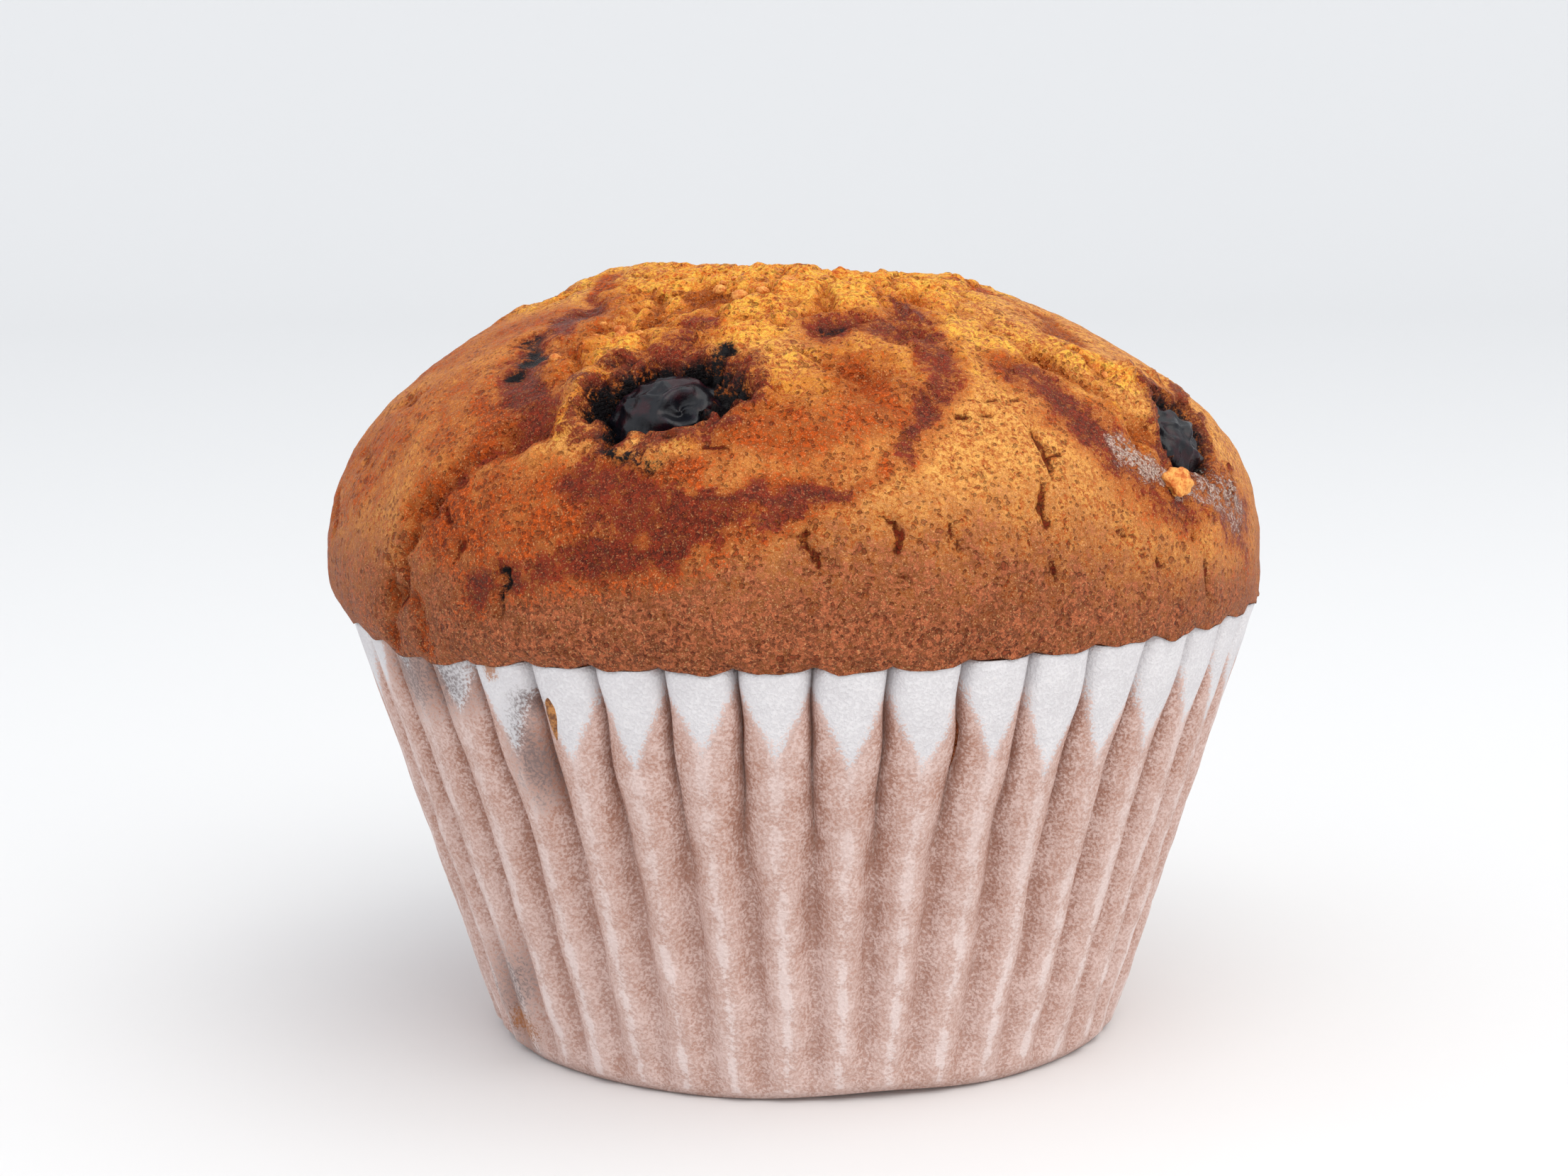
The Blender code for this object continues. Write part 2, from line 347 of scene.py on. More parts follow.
@dataclass(frozen=True)
class PaperFinish:
    """White baking paper, dry at its rim and greased see-through where the cake touches it, with painted
    shade in its creases and partly in its valleys, and painted light towards the bottom.
    """

    dry: tuple = srgb(226, 223, 224)
    dry_shade: tuple = srgb(206, 202, 204)
    greased: tuple = srgb(219, 193, 185)
    greased_deep: tuple = srgb(175, 130, 112)
    lifted: tuple = srgb(232, 216, 212)
    # the darker brown of the valleys, where the paper lies on the cake, partly painted shade
    valley: tuple = srgb(146, 98, 78)
    stain: tuple = srgb(92, 74, 72)
    oil: tuple = srgb(168, 104, 52)
    # painted shade: the dark line along each crease near the rim
    crease: tuple = srgb(112, 76, 66)

    def material(self) -> bpy.types.Material:
        """Builds the material.

        Returns:
            A paper material that reads the marks on the case.
        """
        n = Nodes("baking paper")
        at = n.place()
        clot = n.cloud(at, 4.2, 2.0, 0.6).step(0.36, 0.64)
        fine = n.cloud(at, 7.0, 2.0, 0.6).step(0.38, 0.62)
        blotch = n.cloud(at, 0.42, 3.0, 0.62).step(0.36, 0.64)
        mix = 0.5 * clot + 0.2 * fine + 0.3 * blotch
        ridge = n.painted(Mark.RIDGE.value)
        wet = (n.painted(Mark.GREASE.value) + (mix - 0.5) * 1.1).step(-0.25, 0.3)
        edge = (ridge - 0.95 + (blotch - 0.5) * 0.16 + (clot - 0.5) * 0.06).step(-0.08, 0.06)
        height = Signal(n, n.add("ShaderNodeSeparateXYZ", {}, {0: at}).outputs[2])
        # Painted light: the paper is lighter towards the bottom, where light bounced off the floor reaches
        # it. It lightens the grease, whitens the ridge lines more and eases the valleys' darkening there.
        pale = height.step(24.0, 2.0)
        lift = edge * (0.24 + 0.36 * pale) + (ridge - 0.5).most(0.0) * 0.26
        # Darker valleys: partly the paper lying on the cake, partly painted shade in the folds.
        sunk = (0.22 - ridge + (0.5 - mix) * 0.5).step(-0.1, 0.35)
        greased = n.blend(mix + 0.2 * pale - 0.02, self.greased_deep, self.greased)
        greased = n.blend(sunk * (0.6 - 0.3 * pale), greased, self.valley)
        greased = n.blend(lift, greased, self.lifted)
        dry = n.blend(mix, self.dry_shade, self.dry)
        colour = n.blend(wet, dry, greased)
        # Painted shade: a thin dark line down each crease near the rim.
        colour = n.blend(n.painted(Mark.CREASE_SHADE.value) * (0.5 + 0.5 * mix), colour, self.crease)
        soaked = n.painted(Mark.STAIN.value)
        stain = (soaked - 0.5 + (mix - 0.5) * (soaked * 3.0).least(0.8)).step(-0.4, 0.5)
        oil = (n.painted(Mark.OIL.value) - 0.5 + (mix - 0.5) * 0.8).step(-0.2, 0.3)
        colour = n.blend(stain * (0.56 + 0.24 * clot), colour, self.stain)
        colour = n.blend(oil * 0.8, colour, self.oil)
        return n.finish(
            Base_Color=colour,
            Roughness=0.72 - 0.15 * wet,
            Normal=n.relief(clot * 0.5 + blotch * 0.6, 0.1, 0.7),
            Specular_IOR_Level=0.25,
        )


@dataclass(frozen=True)
class BerryFinish:
    """Baked berry skin: blue-black and wet, with wine-red juice on it."""

    skin: tuple = srgb(12, 13, 20)
    bloom: tuple = srgb(38, 47, 66)
    wine: tuple = srgb(40, 12, 20)

    def material(self) -> bpy.types.Material:
        """Builds the material.

        Returns:
            A dark glossy skin with a thin bloom on its folds.
        """
        n = Nodes("berry skin")
        at = n.place()
        patch = n.cloud(at, 0.7, 3.0, 0.6)
        fine = n.cloud(at, 5.0, 3.0, 0.6)
        ridge = n.painted(Mark.RIDGE.value)
        bloom = (ridge * 0.7 + (patch - 0.5) * 1.2 + (fine - 0.5) * 0.6).step(0.5, 1.05)
        colour = n.blend(patch.step(0.45, 0.62), self.skin, self.wine)
        colour = n.blend(bloom * 0.5, colour, self.bloom)
        return n.finish(
            Base_Color=colour,
            Roughness=0.27 + 0.2 * bloom,
            Normal=n.relief(patch * 0.5 + fine * 0.5, 0.1, 0.6),
            Specular_IOR_Level=0.32,
        )


@dataclass(frozen=True)
class CrumbFinish:
    """Loose crumb and dried batter in one colour range."""

    name: str
    light: tuple
    deep: tuple
    rough: float = 0.7

    def material(self) -> bpy.types.Material:
        """Builds the material.

        Returns:
            A grainy material between the two colours.
        """
        n = Nodes(self.name)
        at = n.place()
        mottle = n.cloud(at, 1.6, 3.0, 0.6)
        grain = n.cloud(at, 6.0, 2.0, 0.6)
        return n.finish(
            Base_Color=n.blend((mottle * 0.6 + grain * 0.4).step(0.38, 0.62), self.deep, self.light),
            Roughness=self.rough,
            Normal=n.relief(mottle + grain, 0.15, 0.8),
            Specular_IOR_Level=0.35,
        )


@dataclass(frozen=True)
class BoardFinish:
    """The plain pale surface the muffin stands on."""

    colour: tuple = (0.78, 0.78, 0.78, 1.0)

    def material(self) -> bpy.types.Material:
        """Builds the matt white material."""
        n = Nodes("pale board")
        return n.finish(Base_Color=self.colour, Roughness=0.85, Specular_IOR_Level=0.15)


# ---------------------------------------------------------------- meshes


def piece_from(
    name: str, bm: bmesh.types.BMesh, material: bpy.types.Material
) -> bpy.types.Object:
    """Turns a bmesh in millimetres into a smooth piece that rides on the muffin.

    Args:
        name: The piece's name.
        bm: Its mesh, which is used up.
        material: Its finish.

    Returns:
        The piece, at the origin.
    """
    bmesh.ops.scale(bm, vec=(MM, MM, MM), verts=bm.verts)
    mesh = bpy.data.meshes.new(name)
    bm.to_mesh(mesh)
    bm.free()
    mesh.shade_smooth()
    mesh.materials.append(material)
    piece = bpy.data.objects.new(name, mesh)
    bpy.context.scene.collection.objects.link(piece)
    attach(piece, "root")
    LOG.info("%s: %d faces", name, len(mesh.polygons))
    return piece


def store(piece: bpy.types.Object, mark: Mark, values: np.ndarray) -> None:
    """Stores a mark's strength on each point of a piece."""
    layer = piece.data.attributes.new(mark.value, "FLOAT", "POINT")
    layer.data.foreach_set("value", np.asarray(values, dtype=np.float32))


def turned_net(columns: int, rings: int, open_at_start: bool, open_at_end: bool) -> bmesh.types.BMesh:
    """A flat grid rolled up round Z into columns and rings. Each point's height is its ring's number.

    Args:
        columns: How many points one ring has.
        rings: How many rings there are.
        open_at_start: Whether the first ring is a circle. A pole is one point.
        open_at_end: Whether the last ring is a circle.

    Returns:
        The net, whose circles have a radius of 1.
    """
    bm = bmesh.new()
    bmesh.ops.create_grid(bm, x_segments=columns, y_segments=rings - 1, size=0.5)
    for vert in bm.verts:
        ring = round((vert.co.y + 0.5) * (rings - 1))
        pole = (ring == 0 and not open_at_start) or (ring == rings - 1 and not open_at_end)
        angle = 2 * math.pi * (vert.co.x + 0.5)
        radius = 0.0 if pole else 1.0
        vert.co = (radius * math.sin(angle), -radius * math.cos(angle), ring)
    bmesh.ops.remove_doubles(bm, verts=bm.verts, dist=1e-4)
    return bm


def azimuth_of(x: float, y: float) -> float:
    """Azimuth of a point in radians, from 0 to a full turn."""
    return math.atan2(x, -y) % (2 * math.pi)


def bump_at(azimuth: float, place: float, wide: float) -> float:
    """A smooth bump round a place on the rim, 1 high, with its half width in radians."""
    away = (azimuth + math.pi) % (2 * math.pi) - math.pi - place
    return math.exp(-((away / wide) ** 2))


# ---------------------------------------------------------------- the paper case


@dataclass
class PleatedForm:
    """The case's outline, which the paper and the cake's side share."""

    base_radius: float = 25.0
    rim_radius: float = 36.1
    rim_height: float = 34.1
    rim_tilt: float = 0.6
    left_peak: float = 1.1
    pleats: int = 42
    depth: float = 2.4
    start: float = 0.09
    wander: float = 0.011
    places: tuple = (0.0, 0.035, 0.08, 0.14, 0.22, 0.31, 0.41, 0.5, 0.59, 0.69, 0.78, 0.86, 0.92, 0.965)

    @property
    def columns(self) -> int:
        """Points in one ring."""
        return self.pleats * len(self.places)

    def share_of_pleat(self, column: int) -> tuple[int, float]:
        """The pleat a column is in, and how far across it lies, from valley to valley."""
        pleat, place = divmod(column % self.columns, len(self.places))
        return pleat, self.places[place]

    def shift(self, pleat: int, height: float) -> float:
        """How far a valley has wandered round the case at a height, in radians."""
        pleat %= self.pleats
        slow = ripple(pleat * 3.1, height * 0.055, 4.0)
        quick = ripple(pleat * 2.3, height * 0.21, 9.0)
        return self.wander * (ripple(pleat * 5.7, 1.0, 2.0) + 1.1 * slow + 1.0 * quick)

    def azimuth(self, column: int, height: float) -> float:
        """The real azimuth of a column at a height."""
        pleat, across = self.share_of_pleat(column)
        plain = 2 * math.pi * (pleat + across + self.start) / self.pleats
        left, right = self.shift(pleat, height), self.shift(pleat + 1, height)
        return plain + left + (right - left) * across

    def rim(self, azimuth: float) -> float:
        """Height of the paper's edge, which stands a little higher at the far left."""
        peak = self.left_peak * bump_at(azimuth, -1.5, 0.36)
        return self.rim_height + self.rim_tilt * math.sin(azimuth) + peak

    def radius(self, column: int, height: float) -> float:
        """Radius of the paper's outer face, with pleats that open from creases to soft waves."""
        pleat, across = self.share_of_pleat(column)
        share = height / self.rim_height
        near = min(across, 1.0 - across)
        crease = 0.86 * math.exp(-near / 0.042) + 0.14 * (1.0 - math.sin(math.pi * across))
        wave = (0.5 + 0.5 * math.cos(2 * math.pi * across)) ** 1.9
        tight = float(ramp(0.45, 0.93, share))
        valley = crease * tight + wave * (1.0 - tight)
        uneven = 1.0 + 0.2 * ripple(pleat * 4.3, height * 0.05, 7.0)
        depth = self.depth * math.sqrt(max(share, 0.0)) * uneven
        crest = self.base_radius + (self.rim_radius - self.base_radius) * share
        return crest - depth * valley


@dataclass
class PaperCase:
    """The pleated paper case."""

    form: PleatedForm
    rings: int = 58
    thickness: float = 0.16
    fold: float = 0.7
    crinkle: float = 0.16

    def build(self) -> bpy.types.Object:
        """Builds the case.

        Returns:
            The case as one closed sheet with its own thickness.
        """
        total = self.rings + 4
        bm = turned_net(self.form.columns, total, False, True)
        spots = []
        for vert in bm.verts:
            spots.append(self._spot(vert))
        for vert, spot in zip(bm.verts, spots):
            vert.co = spot[0]
        bmesh.ops.recalc_face_normals(bm, faces=bm.faces)
        if bm.faces and self._faces_in(bm):
            bmesh.ops.reverse_faces(bm, faces=bm.faces)
        piece = piece_from("pleated_paper", bm, PaperFinish().material())
        heights = np.array([spot[0].z for spot in spots])
        azimuths = np.degrees([azimuth_of(spot[0].x, spot[0].y) for spot in spots])
        azimuths = np.where(azimuths > 180.0, azimuths - 360.0, azimuths)
        ridges = np.array([spot[1] for spot in spots])
        edges = np.array([spot[2] for spot in spots])
        store(piece, Mark.RIDGE, ridges)
        # Painted shade along each crease, only near the rim.
        store(piece, Mark.CREASE_SHADE, np.where(ridges < 1e-3, 0.85 * ramp(24.0, 30.0, heights), 0.0))
        store(piece, Mark.GREASE, np.clip((edges - heights) / 2.0, -3.0, 3.0))
        self._stain(piece, azimuths, heights)
        solid = piece.modifiers.new("thickness", "SOLIDIFY")
        solid.thickness = self.thickness * MM
        solid.offset = -1.0
        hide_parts("paper_case")
        return piece

    def _spot(self, vert: bmesh.types.BMVert) -> tuple[Vector, float, float]:
        """Where a point of the net goes, how far it is up a ridge, and how high the grease is there."""
        form = self.form
        ring = round(vert.co.z)
        turn = azimuth_of(vert.co.x, vert.co.y) / (2 * math.pi)
        column = round(turn * form.columns) % form.columns
        if ring < 4:
            radius = (0.0, 12.0, 22.5, form.base_radius - self.fold * 0.7)[ring]
            azimuth = form.azimuth(column, 0.0)
            return self._at(azimuth, radius, 0.02 + self._lifted(azimuth, radius)), 0.3, 30.0
        share = (ring - 4) / (self.rings - 1)
        height = self.fold + (form.rim_height - self.fold) * share
        azimuth = form.azimuth(column, height)
        pleat, across = form.share_of_pleat(column)
        crest = math.sin(math.pi * across)
        radius = form.radius(column, height)
        x, y = radius * math.sin(azimuth), -radius * math.cos(azimuth)
        calm = 0.35 + 0.65 * (1.0 - share)
        dent = ripple(x * 0.32, y * 0.32, height * 0.22) + 0.5 * ripple(x * 0.8, y * 0.8, height * 0.6)
        radius += self.crinkle * dent * calm * 1.3
        top = share * (form.rim(azimuth) - form.rim_height + 0.22 * (1.0 - crest) ** 3)
        place = self._at(azimuth, radius, height + top + self._lifted(azimuth, radius) * (1.0 - share) ** 3)
        ridge = crest ** (2.4 - 1.2 * float(ramp(0.7, 0.9, share)))
        return place, ridge, self._grease_edge(pleat, across, azimuth)

    @staticmethod
    def _at(azimuth: float, radius: float, height: float) -> Vector:
        """The point at an azimuth, radius and height."""
        return Vector((radius * math.sin(azimuth), -radius * math.cos(azimuth), height))

    @staticmethod
    def _lifted(azimuth: float, radius: float) -> float:
        """The fold round the base doesn't quite reach the table in places."""
        outer = float(ramp(16.0, 24.5, radius))
        uneven = 0.14 * (1.0 + ripple(4 * math.sin(azimuth), 4 * math.cos(azimuth), 3.0))
        return outer * (0.45 * bump_at(azimuth, 0.22, 0.26) + uneven)

    @staticmethod
    def _grease_edge(pleat: int, across: float, azimuth: float) -> float:
        """The height at which the paper turns dry: low on each ridge and high in each valley."""
        tongue = 1.0 - abs(2.0 * across - 1.0) ** 1.1
        base = 32.6 + 1.1 * ripple(pleat * 2.7, 0.5, 0.5) + 5.0 * bump_at(azimuth, -0.93, 0.16)
        reach = 5.2 + 1.3 * ripple(pleat * 6.1, 3.5, 1.5)
        return base - reach * tongue - 0.9 * math.exp(-(((azimuth - 0.85) / 0.5) ** 2))

    @staticmethod
    def _stain(piece: bpy.types.Object, azimuths: np.ndarray, heights: np.ndarray) -> None:
        """Marks where juice and batter soaked into the paper."""

        def spot(azimuth: float, height: float, wide: float, tall: float) -> np.ndarray:
            away = ((azimuths - azimuth + 180.0) % 360.0 - 180.0) / wide
            return np.exp(-(away**2) - ((heights - height) / tall) ** 2)

        stain = 0.85 * spot(-55, 31.5, 6, 3.0) + 0.75 * spot(-46, 31.5, 4, 2.2)
        stain += 0.95 * spot(-35.5, 26.5, 3.2, 3.6) + 0.7 * spot(-34, 31.2, 2.0, 1.0)
        stain += 0.7 * spot(-60, 4.0, 7, 4.5) + 0.5 * spot(-54, 8.0, 4, 3.0)
        stain += 0.8 * spot(128, 20.0, 5, 5.0) + 0.7 * spot(-150, 29.0, 6, 3.0)
        oil = 0.9 * spot(-58, 3.0, 5, 1.6) + 1.1 * spot(-38.5, 33.0, 1.3, 0.7)
        oil += 0.5 * spot(170, 8.0, 6, 3.0)
        store(piece, Mark.STAIN, np.clip(stain, 0.0, 1.0))
        store(piece, Mark.OIL, np.clip(oil, 0.0, 1.0))

    @staticmethod
    def _faces_in(bm: bmesh.types.BMesh) -> bool:
        """Whether the wall's faces look towards the axis."""
        total = 0.0
        for face in bm.faces:
            middle = face.calc_center_median()
            total += face.normal.x * middle.x + face.normal.y * middle.y
        return total < 0.0


# ---------------------------------------------------------------- the cake


@dataclass(frozen=True)
class Stroke:
    """A mark drawn along a path on the crust.

    The path holds azimuths and rises in degrees. Reach is half its width and soft its faded edge, in
    millimetres. Sink is how deep it lies below the crust, or above it where negative.
    """

    mark: Mark
    path: tuple
    reach: float
    soft: float
    strength: float = 1.0
    sink: float = 0.0


FRONT_STROKES = (
    # The broad red-brown zones that the juice tinted.
    Stroke(Mark.RUSSET, ((-86, 8), (-74, 14), (-62, 20), (-48, 22)), 4.0, 5.5, 0.62),
    Stroke(Mark.RUSSET, ((-48, 22), (-41, 20), (-37, 19), (-44, 16)), 1.8, 1.8, 1.0),
    Stroke(Mark.RUSSET, ((-28, 13), (-20, 11), (-10, 11.5), (-2, 12.5)), 1.9, 1.9, 1.0, 0.1),
    Stroke(Mark.RUSSET, ((-47, 10), (-38, 9), (-29, 10.5)), 3.0, 3.0, 0.9),
    Stroke(Mark.RUSSET, ((-8, 22), (2, 21), (10, 24), (8, 30)), 2.6, 3.8, 0.68),
    Stroke(Mark.RUSSET, ((-62, 50), (-52, 45), (-44, 36), (-38, 30)), 1.6, 3.0, 0.62),
    Stroke(Mark.RUSSET, ((-25, 16.5), (-18, 15.5), (-13, 17)), 1.0, 1.3, 0.85),
    Stroke(Mark.RUSSET, ((-88, 30), (-76, 33), (-66, 37), (-60, 42)), 3.6, 5.0, 0.6),
    # The dark streak down the left, and the split below it.
    Stroke(Mark.RUSSET, ((-92, 53), (-78, 53), (-68, 51), (-60, 47)), 0.9, 1.0, 1.0, 0.2),
    Stroke(Mark.JUICE, ((-74, 52.5), (-66, 50), (-60, 46)), 0.4, 1.1, 0.75, 0.2),
    Stroke(Mark.JUICE, ((-62, 46), (-58, 42), (-55, 38), (-54, 35)), 1.3, 1.3, 1.0, 0.4),
    Stroke(Mark.CHAR_AND_SHADE, ((-55, 35), (-51, 31)), 0.8, 1.2, 0.85, 0.3),
    Stroke(Mark.JUICE, ((-52, 32), (-47, 28), (-42, 25), (-38, 22)), 1.1, 1.5, 1.0, 0.5),
    Stroke(Mark.JUICE, ((-39, 22), (-36, 20), (-41, 18)), 0.5, 1.1, 0.7, 0.4),
    Stroke(Mark.TORN_AND_SHADED, ((-35, 19.5), (-41, 17.5), (-46, 14), (-49.5, 10)), 0.7, 1.0, 1.0, 0.9),
    Stroke(Mark.TORN_AND_SHADED, ((-49.5, 10), (-50.5, 5), (-54, 0.5), (-55.5, -4)), 0.5, 0.8, 1.0, 1.1),
    Stroke(Mark.JUICE, ((-42, 16.5), (-46, 13), (-49, 9)), 0.25, 0.8, 0.7),
    Stroke(Mark.TORN_AND_SHADED, ((-54, 0.5), (-49, 0), (-47.5, -4)), 0.3, 0.6, 0.8, 0.5),
    # A thin dark line along the lip at the left: partly a burnt edge, partly painted shadow under the
    # overhang.
    Stroke(Mark.CHAR_AND_SHADE, ((-58, -6.6), (-52, -7), (-46, -7)), 0.25, 0.5, 0.75),
    # The two bands under the hollow.
    Stroke(Mark.JUICE, ((-33, 3.6), (-28, 4.6), (-24, 5.2)), 0.3, 0.8, 0.8, 0.15),
    Stroke(Mark.JUICE, ((-25, 5.2), (-19, 6.0), (-13, 7.6), (-8, 9.2), (-4, 10.4)), 0.9, 1.0, 1.0, 0.2),
    Stroke(Mark.JUICE, ((-5, 10.2), (0, 12), (5, 13.5)), 0.3, 0.9, 0.7),
    Stroke(Mark.JUICE, ((-14, 13.8), (-8, 13.4), (-2, 13.0), (4, 13.2)), 0.5, 0.8, 0.95, 0.1),
    Stroke(Mark.JUICE, ((-27, 14), (-20, 13.4), (-15, 12)), 1.1, 1.6, 0.8),
    Stroke(Mark.JUICE, ((-24, 9.6), (-15, 10.2), (-8, 11.2)), 0.9, 1.5, 0.7),
    Stroke(Mark.JUICE, ((-39, 1.6), (-36, 2.6), (-33, 3.4)), 0.5, 0.7, 0.85),
    Stroke(Mark.CHAR_AND_SHADE, ((-35.3, 3.0), (-35.8, 1.0), (-36, -1.4)), 0.3, 0.45, 1.0, 0.9),
    # The hollow's tail, stain and raised lip.
    Stroke(Mark.CHAR_AND_SHADE, ((-15, 29), (-13.4, 32), (-13.2, 35)), 0.6, 0.7, 1.0, 0.7),
    Stroke(Mark.CHAR_AND_SHADE, ((-24, 18), (-19, 17.4)), 0.5, 1.2, 0.62, 0.2),
    Stroke(Mark.JUICE, ((-23, 32), (-21, 36), (-22, 41)), 0.6, 1.3, 0.85, 0.3),
    Stroke(Mark.JUICE, ((-11, 31), (-10, 26), (-12, 21)), 0.6, 1.2, 0.8, 0.2),
    Stroke(Mark.OPEN, ((-33.5, 19.5), (-31.8, 23), (-30.8, 28)), 0.8, 0.9, 1.0, -0.9),
    # The arc right of it.
    Stroke(Mark.JUICE, ((3, 40.5), (6, 43), (10, 43.5)), 1.0, 1.2, 1.0, 0.6),
    Stroke(Mark.CHAR_AND_SHADE, ((4, 41.5), (8, 43.4)), 0.3, 0.9, 0.62, 0.3),
    Stroke(Mark.JUICE, ((11, 43), (15, 40.5), (20, 40.5)), 0.6, 1.0, 0.9, 0.4),
    Stroke(Mark.JUICE, ((20, 40), (23, 44), (26, 48), (30, 51)), 0.5, 1.1, 0.78, 0.5),
    Stroke(Mark.JUICE, ((21, 41), (22.5, 36), (22, 31), (19, 26)), 0.9, 1.3, 0.95, 0.3),
    Stroke(Mark.JUICE, ((19, 26), (16, 21), (12.5, 17.5)), 0.4, 1.0, 0.9, 0.15),
    Stroke(Mark.RUSSET, ((20, 36), (18, 27), (13, 18.5), (8, 14.5), (3, 12.5)), 0.6, 1.3, 0.75),
    Stroke(Mark.JUICE, ((-1.5, 40), (0, 41)), 0.4, 0.9, 0.7, 0.3),
    Stroke(Mark.RUSSET, ((8, 33), (10, 29), (13, 31)), 0.7, 1.4, 0.8, 0.3),
    # The streak on the right, its frost and the split beside it.
    Stroke(Mark.JUICE, ((36, 28), (38.5, 24), (40.5, 20)), 1.2, 1.4, 0.9, 0.1),
    Stroke(Mark.JUICE, ((40.5, 20), (43, 16), (47, 12), (50, 9)), 1.6, 1.5, 0.82),
    Stroke(Mark.RUSSET, ((35, 30), (39, 22), (44, 14), (50, 8)), 2.2, 1.8, 0.8),
    Stroke(Mark.FROST, ((43.5, 17), (46, 14.5), (48.5, 12.5)), 0.6, 1.5, 0.85),
    Stroke(Mark.JUICE, ((52, 12), (58, 10), (66, 6)), 1.8, 2.2, 0.75),
    Stroke(Mark.FROST, ((53, 11), (59, 10), (65, 7)), 0.7, 2.2, 0.5),
    Stroke(Mark.TORN_AND_SHADED, ((42, 33), (46, 27), (49, 20), (52, 16), (54, 14)), 0.4, 0.8, 0.9, 0.9),
    Stroke(Mark.OPEN, ((50, 31), (54, 26), (58, 22)), 1.3, 1.2, 0.85, -0.7),
    Stroke(Mark.OPEN, ((46, 22), (48, 17)), 0.7, 1.0, 0.8, -0.3),
    Stroke(Mark.TORN_AND_SHADED, ((57, 36), (62, 40), (68, 44)), 1.2, 1.4, 0.95, 0.6),
    Stroke(Mark.RUSSET, ((76, 52), (86, 55), (98, 56)), 1.0, 1.4, 1.0, 0.3),
    Stroke(Mark.TORN_AND_SHADED, ((49.5, 11), (51.5, 8), (51, 4.5)), 0.25, 0.45, 1.0, 0.6),
    # Splits in the torn top and the left side.
    Stroke(Mark.TORN_AND_SHADED, ((-60, 57), (-45, 53), (-38, 46)), 0.6, 1.0, 0.8, 0.6),
    Stroke(Mark.TORN_AND_SHADED, ((-34, 58), (-29, 55), (-27, 51)), 1.2, 1.4, 1.0, 0.9),
    Stroke(Mark.TORN_AND_SHADED, ((-42, 50), (-38, 46), (-34, 43)), 0.6, 1.2, 0.9, 0.7),
    Stroke(Mark.TORN_AND_SHADED, ((-40, 62), (-20, 60), (-8, 62)), 0.4, 1.0, 0.75, 0.7),
    Stroke(Mark.TORN_AND_SHADED, ((-22, 54), (-12, 56), (-6, 53)), 0.4, 1.0, 0.7, 0.6),
    Stroke(Mark.TORN_AND_SHADED, ((-2, 47), (3, 49), (6, 53)), 0.4, 1.0, 0.65, 0.6),
    Stroke(Mark.TORN_AND_SHADED, ((-73, 23), (-66, 22)), 0.4, 0.8, 0.9, 0.5),
    Stroke(Mark.TORN_AND_SHADED, ((-75, 15), (-69, 13.5)), 0.35, 0.8, 0.85, 0.4),
    Stroke(Mark.TORN_AND_SHADED, ((-78, 8), (-74, 5)), 0.35, 0.8, 0.8, 0.4),
    # Fine cracks in the front, darkened partly as painted shade in them.
    Stroke(Mark.PIT, ((30, 19.5), (30.6, 16.8), (30.3, 14)), 0.14, 0.4, 1.0, 0.5),
    Stroke(Mark.PIT, ((28.6, 12.8), (27.4, 10.4), (28, 8.2)), 0.18, 0.4, 1.0, 0.5),
    Stroke(Mark.PIT, ((0.2, 9), (-0.3, 7.6), (0.9, 6.4), (1.4, 5.2)), 0.2, 0.4, 1.0, 0.5),
    Stroke(Mark.PIT, ((9.8, 9.6), (10.4, 8), (9.8, 6.4)), 0.16, 0.4, 1.0, 0.5),
    Stroke(Mark.PIT, ((16, 9), (16.3, 7.6), (16.9, 6.2)), 0.16, 0.4, 1.0, 0.5),
    Stroke(Mark.PIT, ((28, 4.2), (28.4, 2.8)), 0.16, 0.4, 0.9, 0.4),
    Stroke(Mark.PIT, ((30.3, 16.2), (32.6, 16.6)), 0.1, 0.36, 0.9, 0.3),
    Stroke(Mark.PIT, ((25.5, 24.6), (28, 24), (31, 24.4)), 0.1, 0.36, 0.9, 0.3),
    Stroke(Mark.PIT, ((20.5, 22.6), (21.6, 22.3)), 0.16, 0.4, 0.95, 0.5),
    Stroke(Mark.PIT, ((-1.6, 8.2), (-0.2, 8.3)), 0.1, 0.36, 0.9, 0.3),
    Stroke(Mark.PIT, ((10.2, 3.8), (11.4, 3.2)), 0.12, 0.36, 0.95, 0.4),
    Stroke(Mark.PIT, ((8.2, 10.6), (9.6, 9.8)), 0.1, 0.34, 0.85, 0.3),
    Stroke(Mark.PIT, ((38, 7.0), (39.5, 6.2)), 0.12, 0.36, 0.85, 0.3),
    Stroke(Mark.PIT, ((44, 3.4), (44.6, 2.2)), 0.12, 0.36, 0.85, 0.3),
    Stroke(Mark.PIT, ((-12, 18.5), (-9, 18.1)), 0.1, 0.36, 0.9, 0.3),
    Stroke(Mark.PIT, ((-45, 9.5), (-43.6, 8.2)), 0.16, 0.4, 0.9, 0.4),
    Stroke(Mark.PIT, ((-52.6, -1.0), (-50.2, 1.2)), 0.14, 0.4, 0.9, 0.4),
    Stroke(Mark.PIT, ((53.5, 2), (54, -1)), 0.16, 0.4, 0.8, 0.4),
    Stroke(Mark.PIT, ((-42, 4.5), (-41, 6)), 0.25, 0.5, 0.8, 0.4),
    Stroke(Mark.PIT, ((24, 22.5), (25, 22.3)), 0.22, 0.4, 0.8, 0.4),
    # Open golden crumb.
    Stroke(Mark.OPEN, ((-14, 27), (-4, 28), (8, 32)), 3.6, 4.2, 0.55),
    Stroke(Mark.OPEN, ((-36, 36), (-30, 46), (-14, 44)), 4.0, 4.0, 0.95),
